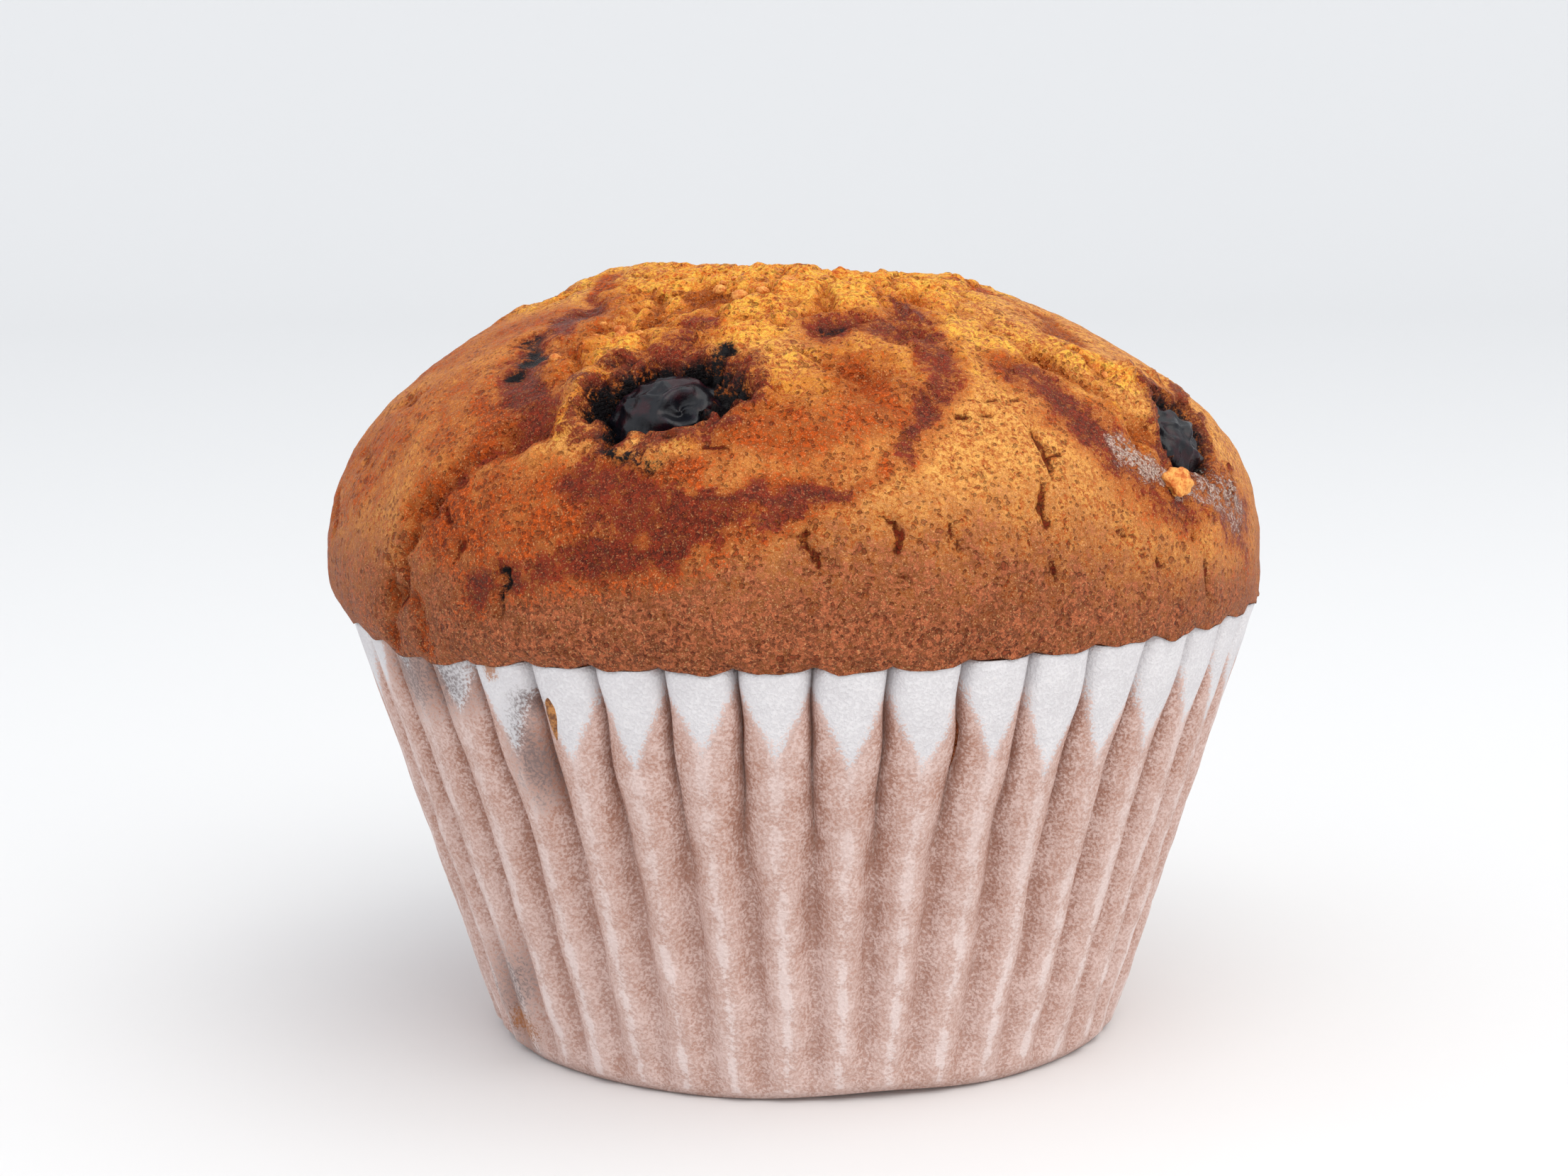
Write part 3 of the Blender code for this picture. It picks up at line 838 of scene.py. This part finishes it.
    Stroke(Mark.OPEN, ((-40, 66), (0, 62), (40, 70)), 8.5, 6.0, 1.0),
    Stroke(Mark.OPEN, ((26, 36), (34, 40), (40, 34)), 4.0, 5.0, 0.52),
)

BACK_STROKES = (
    Stroke(Mark.RUSSET, ((94, 5), (124, 10), (156, 6)), 3.0, 6.0, 0.55),
    Stroke(Mark.RUSSET, ((196, 8), (230, 14), (264, 10)), 3.5, 6.0, 0.6),
    Stroke(Mark.RUSSET, ((150, 22), (172, 20), (196, 18)), 2.0, 4.0, 0.6),
    Stroke(Mark.JUICE, ((120, 30), (132, 26), (146, 27), (153, 30)), 1.0, 1.2, 0.9, 0.4),
    Stroke(Mark.JUICE, ((163, 31), (176, 24), (190, 21), (204, 24)), 0.9, 1.2, 0.85, 0.3),
    Stroke(Mark.JUICE, ((204, 24), (214, 32), (218, 42), (210, 50)), 0.8, 1.1, 0.85, 0.3),
    Stroke(Mark.JUICE, ((108, 14), (118, 10), (128, 12)), 1.1, 1.5, 0.7, 0.1),
    Stroke(Mark.JUICE, ((228, 12), (240, 16), (252, 14)), 1.0, 1.4, 0.7, 0.1),
    Stroke(Mark.TORN_AND_SHADED, ((105, 40), (120, 46), (138, 48), (150, 44)), 0.6, 1.0, 0.85, 0.8),
    Stroke(Mark.TORN_AND_SHADED, ((226, 40), (240, 44), (256, 42), (266, 46)), 0.6, 1.0, 0.8, 0.8),
    Stroke(Mark.TORN_AND_SHADED, ((170, 60), (200, 56), (230, 62)), 0.6, 1.1, 0.7, 0.7),
    Stroke(Mark.TORN_AND_SHADED, ((98, 16), (101, 10), (100, 4)), 0.3, 0.6, 0.9, 0.7),
    Stroke(Mark.PIT, ((172, 12), (173, 9), (172, 6)), 0.16, 0.34, 1.0, 0.5),
    Stroke(Mark.PIT, ((196, 10), (195, 7)), 0.16, 0.34, 1.0, 0.5),
    Stroke(Mark.PIT, ((222, 6), (223, 3.5)), 0.16, 0.34, 1.0, 0.5),
    Stroke(Mark.PIT, ((140, 8), (139, 5)), 0.18, 0.34, 1.0, 0.5),
    Stroke(Mark.OPEN, ((120, 58), (150, 52), (185, 50), (220, 58)), 6.0, 5.0, 0.9),
    Stroke(Mark.OPEN, ((250, 50), (264, 46)), 3.5, 4.0, 0.6),
    Stroke(Mark.OPEN, ((150, 76), (230, 76)), 8.0, 5.0, 1.0),
)


@dataclass
class Crown:
    """The crown's smooth outline, which its swirls, cracks and berries are laid on."""

    reach: float = 36.9
    lean: float = 0.6
    widest: float = 38.2
    top: float = 60.2
    fullness: float = 2.15
    swells: tuple = (
        (-11.6, 2.5, 5.0, 0.7),
        (-5.0, -2.0, 5.0, 0.4),
        (3.0, 3.0, 4.5, -0.6),
        (7.5, 2.0, 3.0, -1.9),
        (11.8, 3.0, 4.2, 0.7),
        (-2.0, -16.0, 8.0, 0.5),
        (9.0, 18.0, 7.0, -0.5),
        (-6.0, 17.0, 8.0, 0.7),
        (-1.0, 3.0, 3.5, -0.7),
        (-17.0, 3.0, 7.0, 1.3),
        (30.0, 3.0, 10.0, -3.4),
    )

    def points(self, azimuth: np.ndarray, rise: np.ndarray) -> np.ndarray:
        """Points of the smooth crown.

        Args:
            azimuth: Azimuths in radians.
            rise: Rises in radians.

        Returns:
            One row of x, y and z for each pair.
        """
        across = np.cos(rise) / (self.reach - self.lean * np.sin(azimuth))
        up = np.abs(np.sin(rise)) / (self.top - self.widest)
        power = self.fullness
        reach = (across**power + up**power) ** (-1.0 / power)
        radius = reach * np.cos(rise)
        height = self.widest + reach * np.sin(rise)
        spots = np.stack([radius * np.sin(azimuth), -radius * np.cos(azimuth), height], axis=-1)
        for right, back, wide, swell in self.swells:
            away = np.hypot(spots[..., 0] - right, spots[..., 1] - back) / wide
            spots[..., 2] += swell * np.exp(-(away**2)) * np.sin(np.maximum(rise, 0.0))
        return spots

    def outward(self, azimuth: np.ndarray, rise: np.ndarray) -> np.ndarray:
        """Unit vectors square to the smooth crown, pointing out."""
        step = 1e-3
        level = np.minimum(rise, math.pi / 2 - 2 * step)
        middle = self.points(azimuth, level)
        along = self.points(azimuth + step, level) - middle
        up = self.points(azimuth, level + step) - middle
        out = np.cross(along, up)
        return out / np.linalg.norm(out, axis=-1, keepdims=True)

    def path(self, knots: tuple) -> np.ndarray:
        """Close points along a path of azimuths and rises in degrees."""
        angles = np.radians(np.array(knots, dtype=float))
        runs = []
        for start, end in zip(angles, angles[1:]):
            share = np.linspace(0.0, 1.0, 24)[:, None]
            runs.append(start + (end - start) * share)
        line = np.concatenate(runs) if runs else angles
        return self.points(line[:, 0], line[:, 1])


@dataclass
class Socket:
    """The ragged hollow that a berry lies in, longer one way than the other."""

    centre: np.ndarray
    out: np.ndarray
    long: float
    short: float
    tilt: float
    deep: float = 3.4

    def around(self, spots: np.ndarray, wobble: np.ndarray) -> np.ndarray:
        """Distance of each point from the hollow's axis, 1 being its ragged edge."""
        offset = spots - self.centre
        level = np.cross(np.array([0.0, 0.0, 1.0]), self.out)
        level /= np.linalg.norm(level)
        uphill = np.cross(self.out, level)
        side, rise = offset @ level, offset @ uphill
        cosine, sine = math.cos(self.tilt), math.sin(self.tilt)
        across = (side * cosine + rise * sine) / self.long
        down = (rise * cosine - side * sine) / self.short
        away = np.hypot(across, down) / (1.0 + 0.34 * wobble)
        return np.where(offset @ self.out > -8.0, away, 9.0)


@dataclass
class Cake:
    """The cake: its pleated side, the lip over the paper and the crown."""

    form: PleatedForm
    crown: Crown
    sockets: list
    crown_rings: int = 146
    lower_rings: int = 8
    lip_rise: float = -7.0
    lip_turn: float = 3.4
    overhang: float = 0.12
    hang: float = 0.55
    deepest: float = 3.4

    def build(self) -> bpy.types.Object:
        """Builds the cake.

        Returns:
            The cake as one closed piece with its marks.
        """
        bm = turned_net(self.form.columns, self.lower_rings + self.crown_rings, False, False)
        verts = list(bm.verts)
        ring = np.array([round(v.co.z) for v in verts])
        turn = np.array([azimuth_of(v.co.x, v.co.y) for v in verts]) / (2 * math.pi)
        column = np.rint(turn * self.form.columns).astype(int) % self.form.columns
        on_crown = ring >= self.lower_rings
        spots = np.zeros((len(verts), 3))
        for index in np.flatnonzero(~on_crown):
            spots[index] = self._below(int(ring[index]), int(column[index]))
        azimuth, rise = self._angles(ring[on_crown] - self.lower_rings, column[on_crown])
        surface, marks = self._crust(azimuth, rise, column[on_crown])
        spots[on_crown] = surface
        for vert, spot in zip(verts, spots):
            vert.co = spot
        bmesh.ops.recalc_face_normals(bm, faces=bm.faces)
        piece = piece_from("crumb_and_crust", bm, CrustFinish().material())
        for mark, values in marks.items():
            full = np.zeros(len(spots))
            full[on_crown] = values
            if mark is Mark.BROWN:
                full[~on_crown] = 1.0
            store(piece, mark, full)
        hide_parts("cake")
        return piece

    def _below(self, ring: int, column: int) -> tuple[float, float, float]:
        """A point under the lip: the base, the pleated side inside the paper, and the turn over the rim."""
        form = self.form
        if ring < 2:
            height, radius = 0.6, (0.0, form.base_radius - 1.6)[ring]
            azimuth = form.azimuth(column, height)
        elif ring < 6:
            height = (1.6, 11.0, 22.0, 32.6)[ring - 2]
            azimuth, radius = form.azimuth(column, height), form.radius(column, height) - 0.75
        else:
            azimuth = form.azimuth(column, form.rim_height)
            crest = form.radius(column, form.rim_height)
            radius = (crest - 0.6, crest + 0.02)[ring - 6]
            height = form.rim(azimuth) + (-0.1, 0.3)[ring - 6]
        return radius * math.sin(azimuth), -radius * math.cos(azimuth), height

    def _angles(self, ring: np.ndarray, column: np.ndarray) -> tuple[np.ndarray, np.ndarray]:
        """Azimuth and rise of each point of the crown, in radians."""
        form = self.form
        share = ring / (self.crown_rings - 1)
        rise = np.radians(self.lip_rise + (90.0 - self.lip_rise) * share)
        pleated = np.array([form.azimuth(c, form.rim_height) for c in range(form.columns)])
        even = 2 * math.pi * (np.arange(form.columns) / form.columns + form.start / form.pleats)
        calm = ramp(0.0, 0.1, share)
        azimuth = pleated[column] * (1.0 - calm) + even[column] * calm
        return azimuth, rise

    def _crust(self, azimuth: np.ndarray, rise: np.ndarray, column: np.ndarray) -> tuple[np.ndarray, dict]:
        """The crust's points and marks.

        Args:
            azimuth: Azimuths in radians.
            rise: Rises in radians.
            column: The column of each point.

        Returns:
            The points, and the strength of each mark at each point.
        """
        base = self.crown.points(azimuth, rise)
        out = self.crown.outward(azimuth, rise)
        broad = np.array([noise.noise_vector(Vector(p * 0.15 + 4.0)) for p in base])
        warp = np.array([noise.noise_vector(Vector(p * 0.45)) for p in base])
        fine = np.array([noise.noise_vector(Vector(p * 1.3 + 9.0)) for p in base])
        moved = base + broad * 1.1 + warp * 1.15 + fine * 0.5
        fade = 1.0 + 0.35 * broad[:, 1] + 0.3 * warp[:, 1]
        painted = (Mark.JUICE, Mark.CHAR_AND_SHADE, Mark.TORN_AND_SHADED, Mark.OPEN, Mark.FROST, Mark.RUSSET, Mark.PIT)
        marks = {mark: np.zeros(len(base)) for mark in painted}
        sink = np.zeros(len(base))
        for stroke in FRONT_STROKES + BACK_STROKES:
            near, away = self._distance(base if stroke.mark is Mark.PIT else moved, stroke)
            solid = ramp(stroke.reach + stroke.soft, stroke.reach * 0.4, away)
            shown = stroke.strength * fade[near] * solid
            marks[stroke.mark][near] = np.maximum(marks[stroke.mark][near], np.minimum(shown, 1.0))
            groove = stroke.sink * np.exp(-((away / (stroke.reach + 0.45 * stroke.soft)) ** 2))
            sink[near] += groove
            if stroke.mark is Mark.JUICE:
                halo = 0.8 * stroke.strength * ramp(stroke.reach + stroke.soft + 1.4, stroke.reach, away)
                marks[Mark.RUSSET][near] = np.maximum(marks[Mark.RUSSET][near], halo)
        wobble = warp[:, 0] + 0.7 * fine[:, 1]
        for hollow in self.sockets:
            away = hollow.around(base, wobble)
            sink += hollow.deep * ramp(1.08, 0.62, away)
            sink -= 0.55 * np.exp(-(((away - 1.25) / 0.2) ** 2)) * (0.4 + np.clip(wobble, -0.4, 1.0))
            marks[Mark.CHAR_AND_SHADE] = np.maximum(marks[Mark.CHAR_AND_SHADE], ramp(1.12, 0.8, away))
            marks[Mark.JUICE] = np.maximum(marks[Mark.JUICE], 0.9 * ramp(1.5, 1.0, away))
        # The crevices between crumb lumps get painted shade through the torn mark.
        lumps, cracks = self._lumps(base, marks[Mark.OPEN])
        marks[Mark.TORN_AND_SHADED] = np.maximum(marks[Mark.TORN_AND_SHADED], cracks)
        degrees = np.degrees(rise)
        height = lumps - np.minimum(sink, self.deepest)
        height *= ramp(self.lip_rise, self.lip_rise + 4.0, degrees)
        spots = base + out * height[:, None]
        marks[Mark.BROWN] = self._browning(azimuth, degrees, warp[:, 2])
        self._tuck(spots, azimuth, rise, column)
        return spots, marks

    def _distance(self, spots: np.ndarray, stroke: Stroke) -> tuple[np.ndarray, np.ndarray]:
        """The points near a stroke, and how far from its path they are."""
        path = self.crown.path(stroke.path)
        middle = path.mean(axis=0)
        span = np.linalg.norm(path - middle, axis=1).max() + 2.5 * (stroke.reach + stroke.soft) + 0.5
        near = np.flatnonzero(np.linalg.norm(spots - middle, axis=1) < span)
        away = np.full(len(near), 1e9)
        for spot in path:
            away = np.minimum(away, np.linalg.norm(spots[near] - spot, axis=1))
        return near, away

    @staticmethod
    def _lumps(spots: np.ndarray, opened: np.ndarray) -> tuple[np.ndarray, np.ndarray]:
        """Swells and crumb lumps, and painted shade in the winding crevices between the lumps of torn
        crumb.
        """
        height = np.zeros(len(spots))
        gap_shade = np.zeros(len(spots))
        for index, spot in enumerate(spots):
            p = Vector(spot)
            share = opened[index]
            height[index] = 0.38 * noise.noise(p * 0.11) + 0.14 * noise.noise(p * 0.42 + Vector((3, 1, 7)))
            height[index] += (0.05 + 0.1 * share) * noise.noise(p * 1.5)
            if share > 0.05:
                warped = p + 1.1 * noise.noise_vector(p * 0.45)
                wide = 1.0 - math.exp(-((noise.noise(warped * 0.21) / 0.13) ** 2))
                narrow = 1.0 - math.exp(-((noise.noise(warped * 0.55 + Vector((5, 2, 1))) / 0.15) ** 2))
                gap = wide * (0.6 + 0.4 * narrow)
                grains = 0.5 * noise.noise(warped * 0.5) + 0.2 * noise.noise(p * 1.15)
                height[index] += share * (0.95 * gap - 0.76 + grains)
                gap_shade[index] = share * max(0.0, 0.86 - gap * 1.2 - 0.3 * grains)
        return height, np.clip(gap_shade, 0.0, 0.85)

    @staticmethod
    def _browning(azimuth: np.ndarray, rise: np.ndarray, drift: np.ndarray) -> np.ndarray:
        """How brown the crust is: most just above the rim, and less on the right side, partly because the
        crust is paler there and partly as painted light and sheen.
        """
        front = np.cos(azimuth + 0.12)
        level = 15.0 + 6.0 * front + 5.0 * drift
        # Less brown on the right: partly paler crust, partly painted light and sheen where the light falls.
        pale = 0.55 * np.exp(-(((azimuth - 0.95) / 0.32) ** 2)) * ramp(-2.0, 4.0, rise)
        return ramp(level, -4.0, rise) * (0.72 + 0.28 * front - pale)

    def _tuck(self, spots: np.ndarray, azimuth: np.ndarray, rise: np.ndarray, column: np.ndarray) -> None:
        """Pulls the crust's lower edge in over the paper's rim, with a shallow scallop on each pleat."""
        form = self.form
        degrees = np.degrees(rise)
        share = ramp(2.0, self.lip_rise, degrees)
        last = ramp(self.lip_rise + self.lip_turn, self.lip_rise, degrees)
        for index in np.flatnonzero(share > 0.0):
            angle = azimuth[index]
            pleat, across = form.share_of_pleat(int(column[index]))
            crest = math.sin(math.pi * across) ** 0.7
            low = form.rim(angle) + 0.3 - self._sag(angle)
            ragged = 0.35 * ripple(24.0 * math.sin(angle), 24.0 * math.cos(angle), 1.0)
            hang = self.hang * (0.8 + 0.6 * ripple(pleat * 3.3, 8.0, 1.0)) + ragged
            radius = math.hypot(spots[index][0], spots[index][1])
            edge = form.rim_radius + self.overhang
            radius += (edge - radius) * share[index] ** 2.6
            radius -= 0.55 * (1.0 - crest) * last[index] ** 1.5
            spots[index][0] = radius * math.sin(angle)
            spots[index][1] = -radius * math.cos(angle)
            spots[index][2] += (low - spots[index][2]) * share[index] ** 1.5 - hang * crest * last[index]

    @staticmethod
    def _sag(azimuth: float) -> float:
        """How much further the crust hangs over the paper in places."""
        slow = ripple(3 * math.sin(azimuth), 3 * math.cos(azimuth), 5.0)
        return 0.7 * bump_at(azimuth, -0.86, 0.2) + 0.25 * slow


# ---------------------------------------------------------------- berries, crumbs and batter


@dataclass
class Berry:
    """A whole baked berry: a wrinkled ball with a star-shaped crown on its end."""

    node: str
    name: str
    crown: Crown
    tilt: tuple = (0.35, -0.25)
    hollow: tuple = (5.2, 4.4, 0.3)
    stretch: tuple = (1.0, 1.0, 0.0)
    depth: float = 0.5

    def __post_init__(self) -> None:
        """Reads the berry's place from the frame."""
        low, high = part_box(self.node)
        self.middle = np.array((low + high) / 2) / MM
        self.radius = float(sum(high - low)) / 6.0 / MM
        across = math.hypot(self.middle[0], self.middle[1])
        azimuth = azimuth_of(self.middle[0], self.middle[1])
        rise = math.atan2(self.middle[2] - self.crown.widest, across)
        self.out = self.crown.outward(np.array([azimuth]), np.array([rise]))[0]

    def socket(self) -> Socket:
        """The hollow it lies in."""
        return Socket(self.middle, self.out, *self.hollow)

    def build(self) -> bpy.types.Object:
        """Builds the berry.

        Returns:
            The berry, sunk in its hollow.
        """
        bm = bmesh.new()
        bmesh.ops.create_icosphere(bm, subdivisions=6, radius=1.0)
        facing = Vector(self.out).to_track_quat("Z", "Y").to_matrix()
        long, short, turn = self.stretch
        facing = facing @ Matrix.Rotation(turn, 3, "Z") @ Matrix.Diagonal((long, short, 1.0))
        facing = facing @ Matrix.Rotation(self.tilt[0], 3, "X") @ Matrix.Rotation(self.tilt[1], 3, "Y")
        sunk = Vector(self.middle - self.out * self.depth)
        folds = []
        for vert in bm.verts:
            rise, fold = self._skin(vert.co)
            folds.append(fold)
            vert.co = sunk + facing @ (vert.co * (self.radius * 0.97 + rise))
        bmesh.ops.recalc_face_normals(bm, faces=bm.faces)
        piece = piece_from(self.name, bm, BerryFinish().material())
        store(piece, Mark.RIDGE, np.array(folds))
        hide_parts(self.node)
        return piece

    @staticmethod
    def _skin(spot: Vector) -> tuple[float, float]:
        """How far the skin stands out at a point of the unit ball, and how much of a fold's top it is."""
        angle = math.acos(max(-1.0, min(1.0, spot.z)))
        turn = math.atan2(spot.y, spot.x)
        warped = spot * 2.1 + noise.noise_vector(spot * 1.5) * 0.7
        fold = 1.0 - min(1.0, abs(noise.noise(warped)) * 3.4)
        swirl = 0.5 + 0.5 * math.sin(13.0 * angle + 2.0 * turn + 2.5 * noise.noise(spot * 1.4))
        near = math.exp(-((angle / 0.85) ** 2))
        star = math.exp(-(((angle - 0.36) / 0.1) ** 2)) * (0.7 + 0.3 * math.cos(5 * turn))
        dent = math.exp(-((angle / 0.26) ** 2))
        rise = 0.4 * fold * (1.0 - near) + 0.34 * swirl * near + 0.42 * star - 0.7 * dent - 0.42
        return rise, max(fold * (1.0 - near), swirl * near, star)


@dataclass(frozen=True)
class Crumb:
    """One crumb: azimuth and rise in degrees, radius and how far it stands out, in millimetres."""

    azimuth: float
    rise: float
    radius: float
    stand: float = 0.3


@dataclass
class Crumbs:
    """Crumbs of one finish, joined into one piece."""

    name: str
    crown: Crown
    finish: CrumbFinish
    crumbs: tuple

    def build(self) -> bpy.types.Object:
        """Builds the crumbs.

        Returns:
            All the crumbs as one piece.
        """
        bm = bmesh.new()
        for number, crumb in enumerate(self.crumbs):
            self._add(bm, crumb, number)
        bmesh.ops.recalc_face_normals(bm, faces=bm.faces)
        return piece_from(self.name, bm, self.finish.material())

    def _add(self, bm: bmesh.types.BMesh, crumb: Crumb, number: int) -> None:
        """Adds one uneven crumb that lies half in the crust."""
        angles = np.radians([[crumb.azimuth], [crumb.rise]])
        spot = self.crown.points(*angles)[0]
        out = self.crown.outward(*angles)[0]
        middle = Vector(spot + out * crumb.stand)
        facing = Vector(out).to_track_quat("Z", "Y").to_matrix()
        made = bmesh.ops.create_icosphere(bm, subdivisions=4 if crumb.radius > 0.7 else 3, radius=1.0)
        offset = Vector((number * 3.7, 1.0, 2.0))
        for vert in made["verts"]:
            coarse = noise.noise(vert.co * 1.1 + offset)
            fine = noise.noise(vert.co * 2.9 + offset)
            size = 1.0 + 0.32 * coarse + 0.22 * fine
            flat = Vector((vert.co.x * 1.2, vert.co.y * 0.95, vert.co.z * 0.75))
            vert.co = middle + facing @ (flat * size * crumb.radius)


@dataclass
class BatterDrip:
    """A drop of batter that ran down a pleat and baked dry."""

    form: PleatedForm
    name: str
    azimuth: float
    height: float
    wide: float
    tall: float
    finish: CrumbFinish

    def build(self) -> bpy.types.Object:
        """Builds the drip.

        Returns:
            A flat drop with its thin end down.
        """
        bm = bmesh.new()
        bmesh.ops.create_uvsphere(bm, u_segments=20, v_segments=14, radius=1.0)
        angle = math.radians(self.azimuth)
        turn = (angle / (2 * math.pi)) % 1.0 * self.form.columns
        column = round(turn - self.form.start * len(self.form.places)) % self.form.columns
        for vert in bm.verts:
            taper = 0.62 + 0.38 * vert.co.z
            height = self.height + vert.co.z * self.tall / 2
            surface = self.form.radius(column, height)
            side = vert.co.x * self.wide / 2 * taper + 0.12 * ripple(height * 1.3, 2.0, 5.0)
            radius = surface + 0.14 - vert.co.y * 0.16 * taper
            vert.co = Vector((radius * math.sin(angle), -radius * math.cos(angle), height))
            vert.co += side * Vector((math.cos(angle), math.sin(angle), 0.0))
        bmesh.ops.recalc_face_normals(bm, faces=bm.faces)
        return piece_from(self.name, bm, self.finish.material())


# ---------------------------------------------------------------- the studio


@dataclass
class Studio:
    """The floor, the light and the camera."""

    lens: float = 66.47
    eye: tuple = (-0.00148, -0.230, 0.06796)
    pitch: float = 0.1436
    roll: float = 0.0103

    def build(self) -> None:
        """Builds the studio."""
        self._floor()
        self._sun("roof window", (0.65, 0.35, 1.2), 0.42, 55.0, (1.0, 0.97, 0.92))
        self._sun("left window", (-0.9, -0.55, 0.8), 0.34, 60.0, (0.96, 0.97, 1.0))
        self._sun("right window", (0.6, -0.85, 0.5), 0.42, 60.0, (1.0, 0.97, 0.93))
        self._lamp("table lamp", (0.15, -0.28, 0.46), 0.5, 1.38, (1.0, 0.96, 0.9))
        self._world()
        self._camera()

    def _floor(self) -> None:
        """A pale floor that curves up into a backdrop."""
        bm = bmesh.new()
        front, bend = -2.2, 1.1
        start = bm.verts.new((-3.0, front, 0.0))
        corner = bm.verts.new((-3.0, bend, 0.0))
        bm.edges.new((start, corner))
        turn = {"cent": (-3.0, bend, 1.0), "axis": (1.0, 0.0, 0.0), "angle": math.pi / 2}
        bmesh.ops.spin(bm, geom=[corner], steps=24, use_merge=False, **turn)
        top = max(bm.verts, key=lambda v: v.co.z)
        above = bm.verts.new((-3.0, top.co.y, 3.0))
        bm.edges.new((top, above))
        grown = bmesh.ops.extrude_edge_only(bm, edges=bm.edges)["geom"]
        moved = [g for g in grown if isinstance(g, bmesh.types.BMVert)]
        bmesh.ops.translate(bm, vec=(6.0, 0.0, 0.0), verts=moved)
        bmesh.ops.recalc_face_normals(bm, faces=bm.faces)
        mesh = bpy.data.meshes.new("floor")
        bm.to_mesh(mesh)
        bm.free()
        mesh.shade_smooth()
        mesh.materials.append(BoardFinish().material())
        floor = bpy.data.objects.new("floor", mesh)
        bpy.context.scene.collection.objects.link(floor)

    @staticmethod
    def _sun(name: str, place: tuple, power: float, spread: float, colour: tuple) -> None:
        """A soft light from far away, as wide as its spread in degrees."""
        data = bpy.data.lights.new(name, "SUN")
        data.energy = power
        data.angle = math.radians(spread)
        data.color = colour
        light = bpy.data.objects.new(name, data)
        light.location = place
        light.rotation_euler = Vector(place).to_track_quat("Z", "Y").to_euler()
        bpy.context.scene.collection.objects.link(light)

    @staticmethod
    def _lamp(name: str, place: tuple, wide: float, power: float, colour: tuple) -> None:
        """A soft square lamp near the muffin, turned to it."""
        data = bpy.data.lights.new(name, "AREA")
        data.energy = power
        data.size = wide
        data.color = colour
        light = bpy.data.objects.new(name, data)
        light.location = place
        light.rotation_euler = Vector(place).to_track_quat("Z", "Y").to_euler()
        bpy.context.scene.collection.objects.link(light)

    @staticmethod
    def _world() -> None:
        """Even light from all round."""
        world = bpy.data.worlds.new("daylight")
        world.use_nodes = True
        sky = world.node_tree.nodes["Background"]
        sky.inputs["Color"].default_value = (0.925, 0.955, 1.0, 1.0)
        sky.inputs["Strength"].default_value = 0.9
        bpy.context.scene.world = world
        bpy.context.scene.view_settings.view_transform = "Standard"

    def _camera(self) -> None:
        """The camera, a little above the muffin's top and close in front of it."""
        data = bpy.data.cameras.new("camera")
        data.lens = self.lens
        data.sensor_width = 36.0
        data.clip_start = 0.01
        camera = bpy.data.objects.new("camera", data)
        tilt = Matrix.Rotation(math.pi / 2 - self.pitch, 4, "X")
        camera.matrix_world = Matrix.Translation(self.eye) @ tilt @ Matrix.Rotation(-self.roll, 4, "Z")
        bpy.context.scene.collection.objects.link(camera)
        bpy.context.scene.camera = camera


PALE_CRUMB = CrumbFinish("pale crumb", srgb(244, 172, 88), srgb(196, 98, 34))
DRY_BATTER = CrumbFinish("dry batter", srgb(190, 128, 66), srgb(110, 62, 28), 0.45)

NOISE_SEED = 3  # the noise offsets are drawn anew for each run without it
CRUMB_SEED = 7

BEAD = Crumb(50.3, 11.6, 1.1, 0.2)

TORN_PLACES = ((-36.0, 38.0, 7.0), (54.0, 26.0, 6.0), (-16.0, 58.0, 14.0), (186.0, 62.0, 16.0))


def loose_crumbs(per_place: int = 6) -> tuple:
    """Small crumbs strewn about the torn places, and the one large bead at the right."""
    chance = random.Random(CRUMB_SEED)
    crumbs = [BEAD]
    for azimuth, rise, wide in TORN_PLACES:
        for _ in range(per_place):
            place = (azimuth + chance.gauss(0.0, wide * 0.6), rise + chance.gauss(0.0, wide * 0.5))
            crumbs.append(Crumb(*place, chance.uniform(0.22, 0.5), chance.uniform(-0.1, 0.15)))
    return tuple(crumbs)


def main() -> None:
    """Builds the muffin and its studio."""
    logging.basicConfig(level=logging.INFO, format="%(name)s: %(message)s")
    noise.seed_set(NOISE_SEED)
    form = PleatedForm()
    crown = Crown()
    PaperCase(form).build()
    berries = [
        Berry("berry_front", "front_berry", crown, (0.45, 0.35), (5.7, 4.2, 0.42), (1.17, 0.95, 0.42)),
        Berry("berry_right", "right_berry", crown, (0.3, 0.3), (4.6, 3.6, 0.9)),
        Berry("berry_back", "back_berry", crown, (-0.3, 0.4), (5.2, 4.2, -0.3)),
    ]
    Cake(form, crown, [berry.socket() for berry in berries]).build()
    for berry in berries:
        berry.build()
    Crumbs("edge_crumbs", crown, PALE_CRUMB, loose_crumbs()).build()
    BatterDrip(form, "batter_drip", -30.8, 29.4, 1.3, 4.2, DRY_BATTER).build()
    Studio().build()


if __name__ == "__main__":
    main()
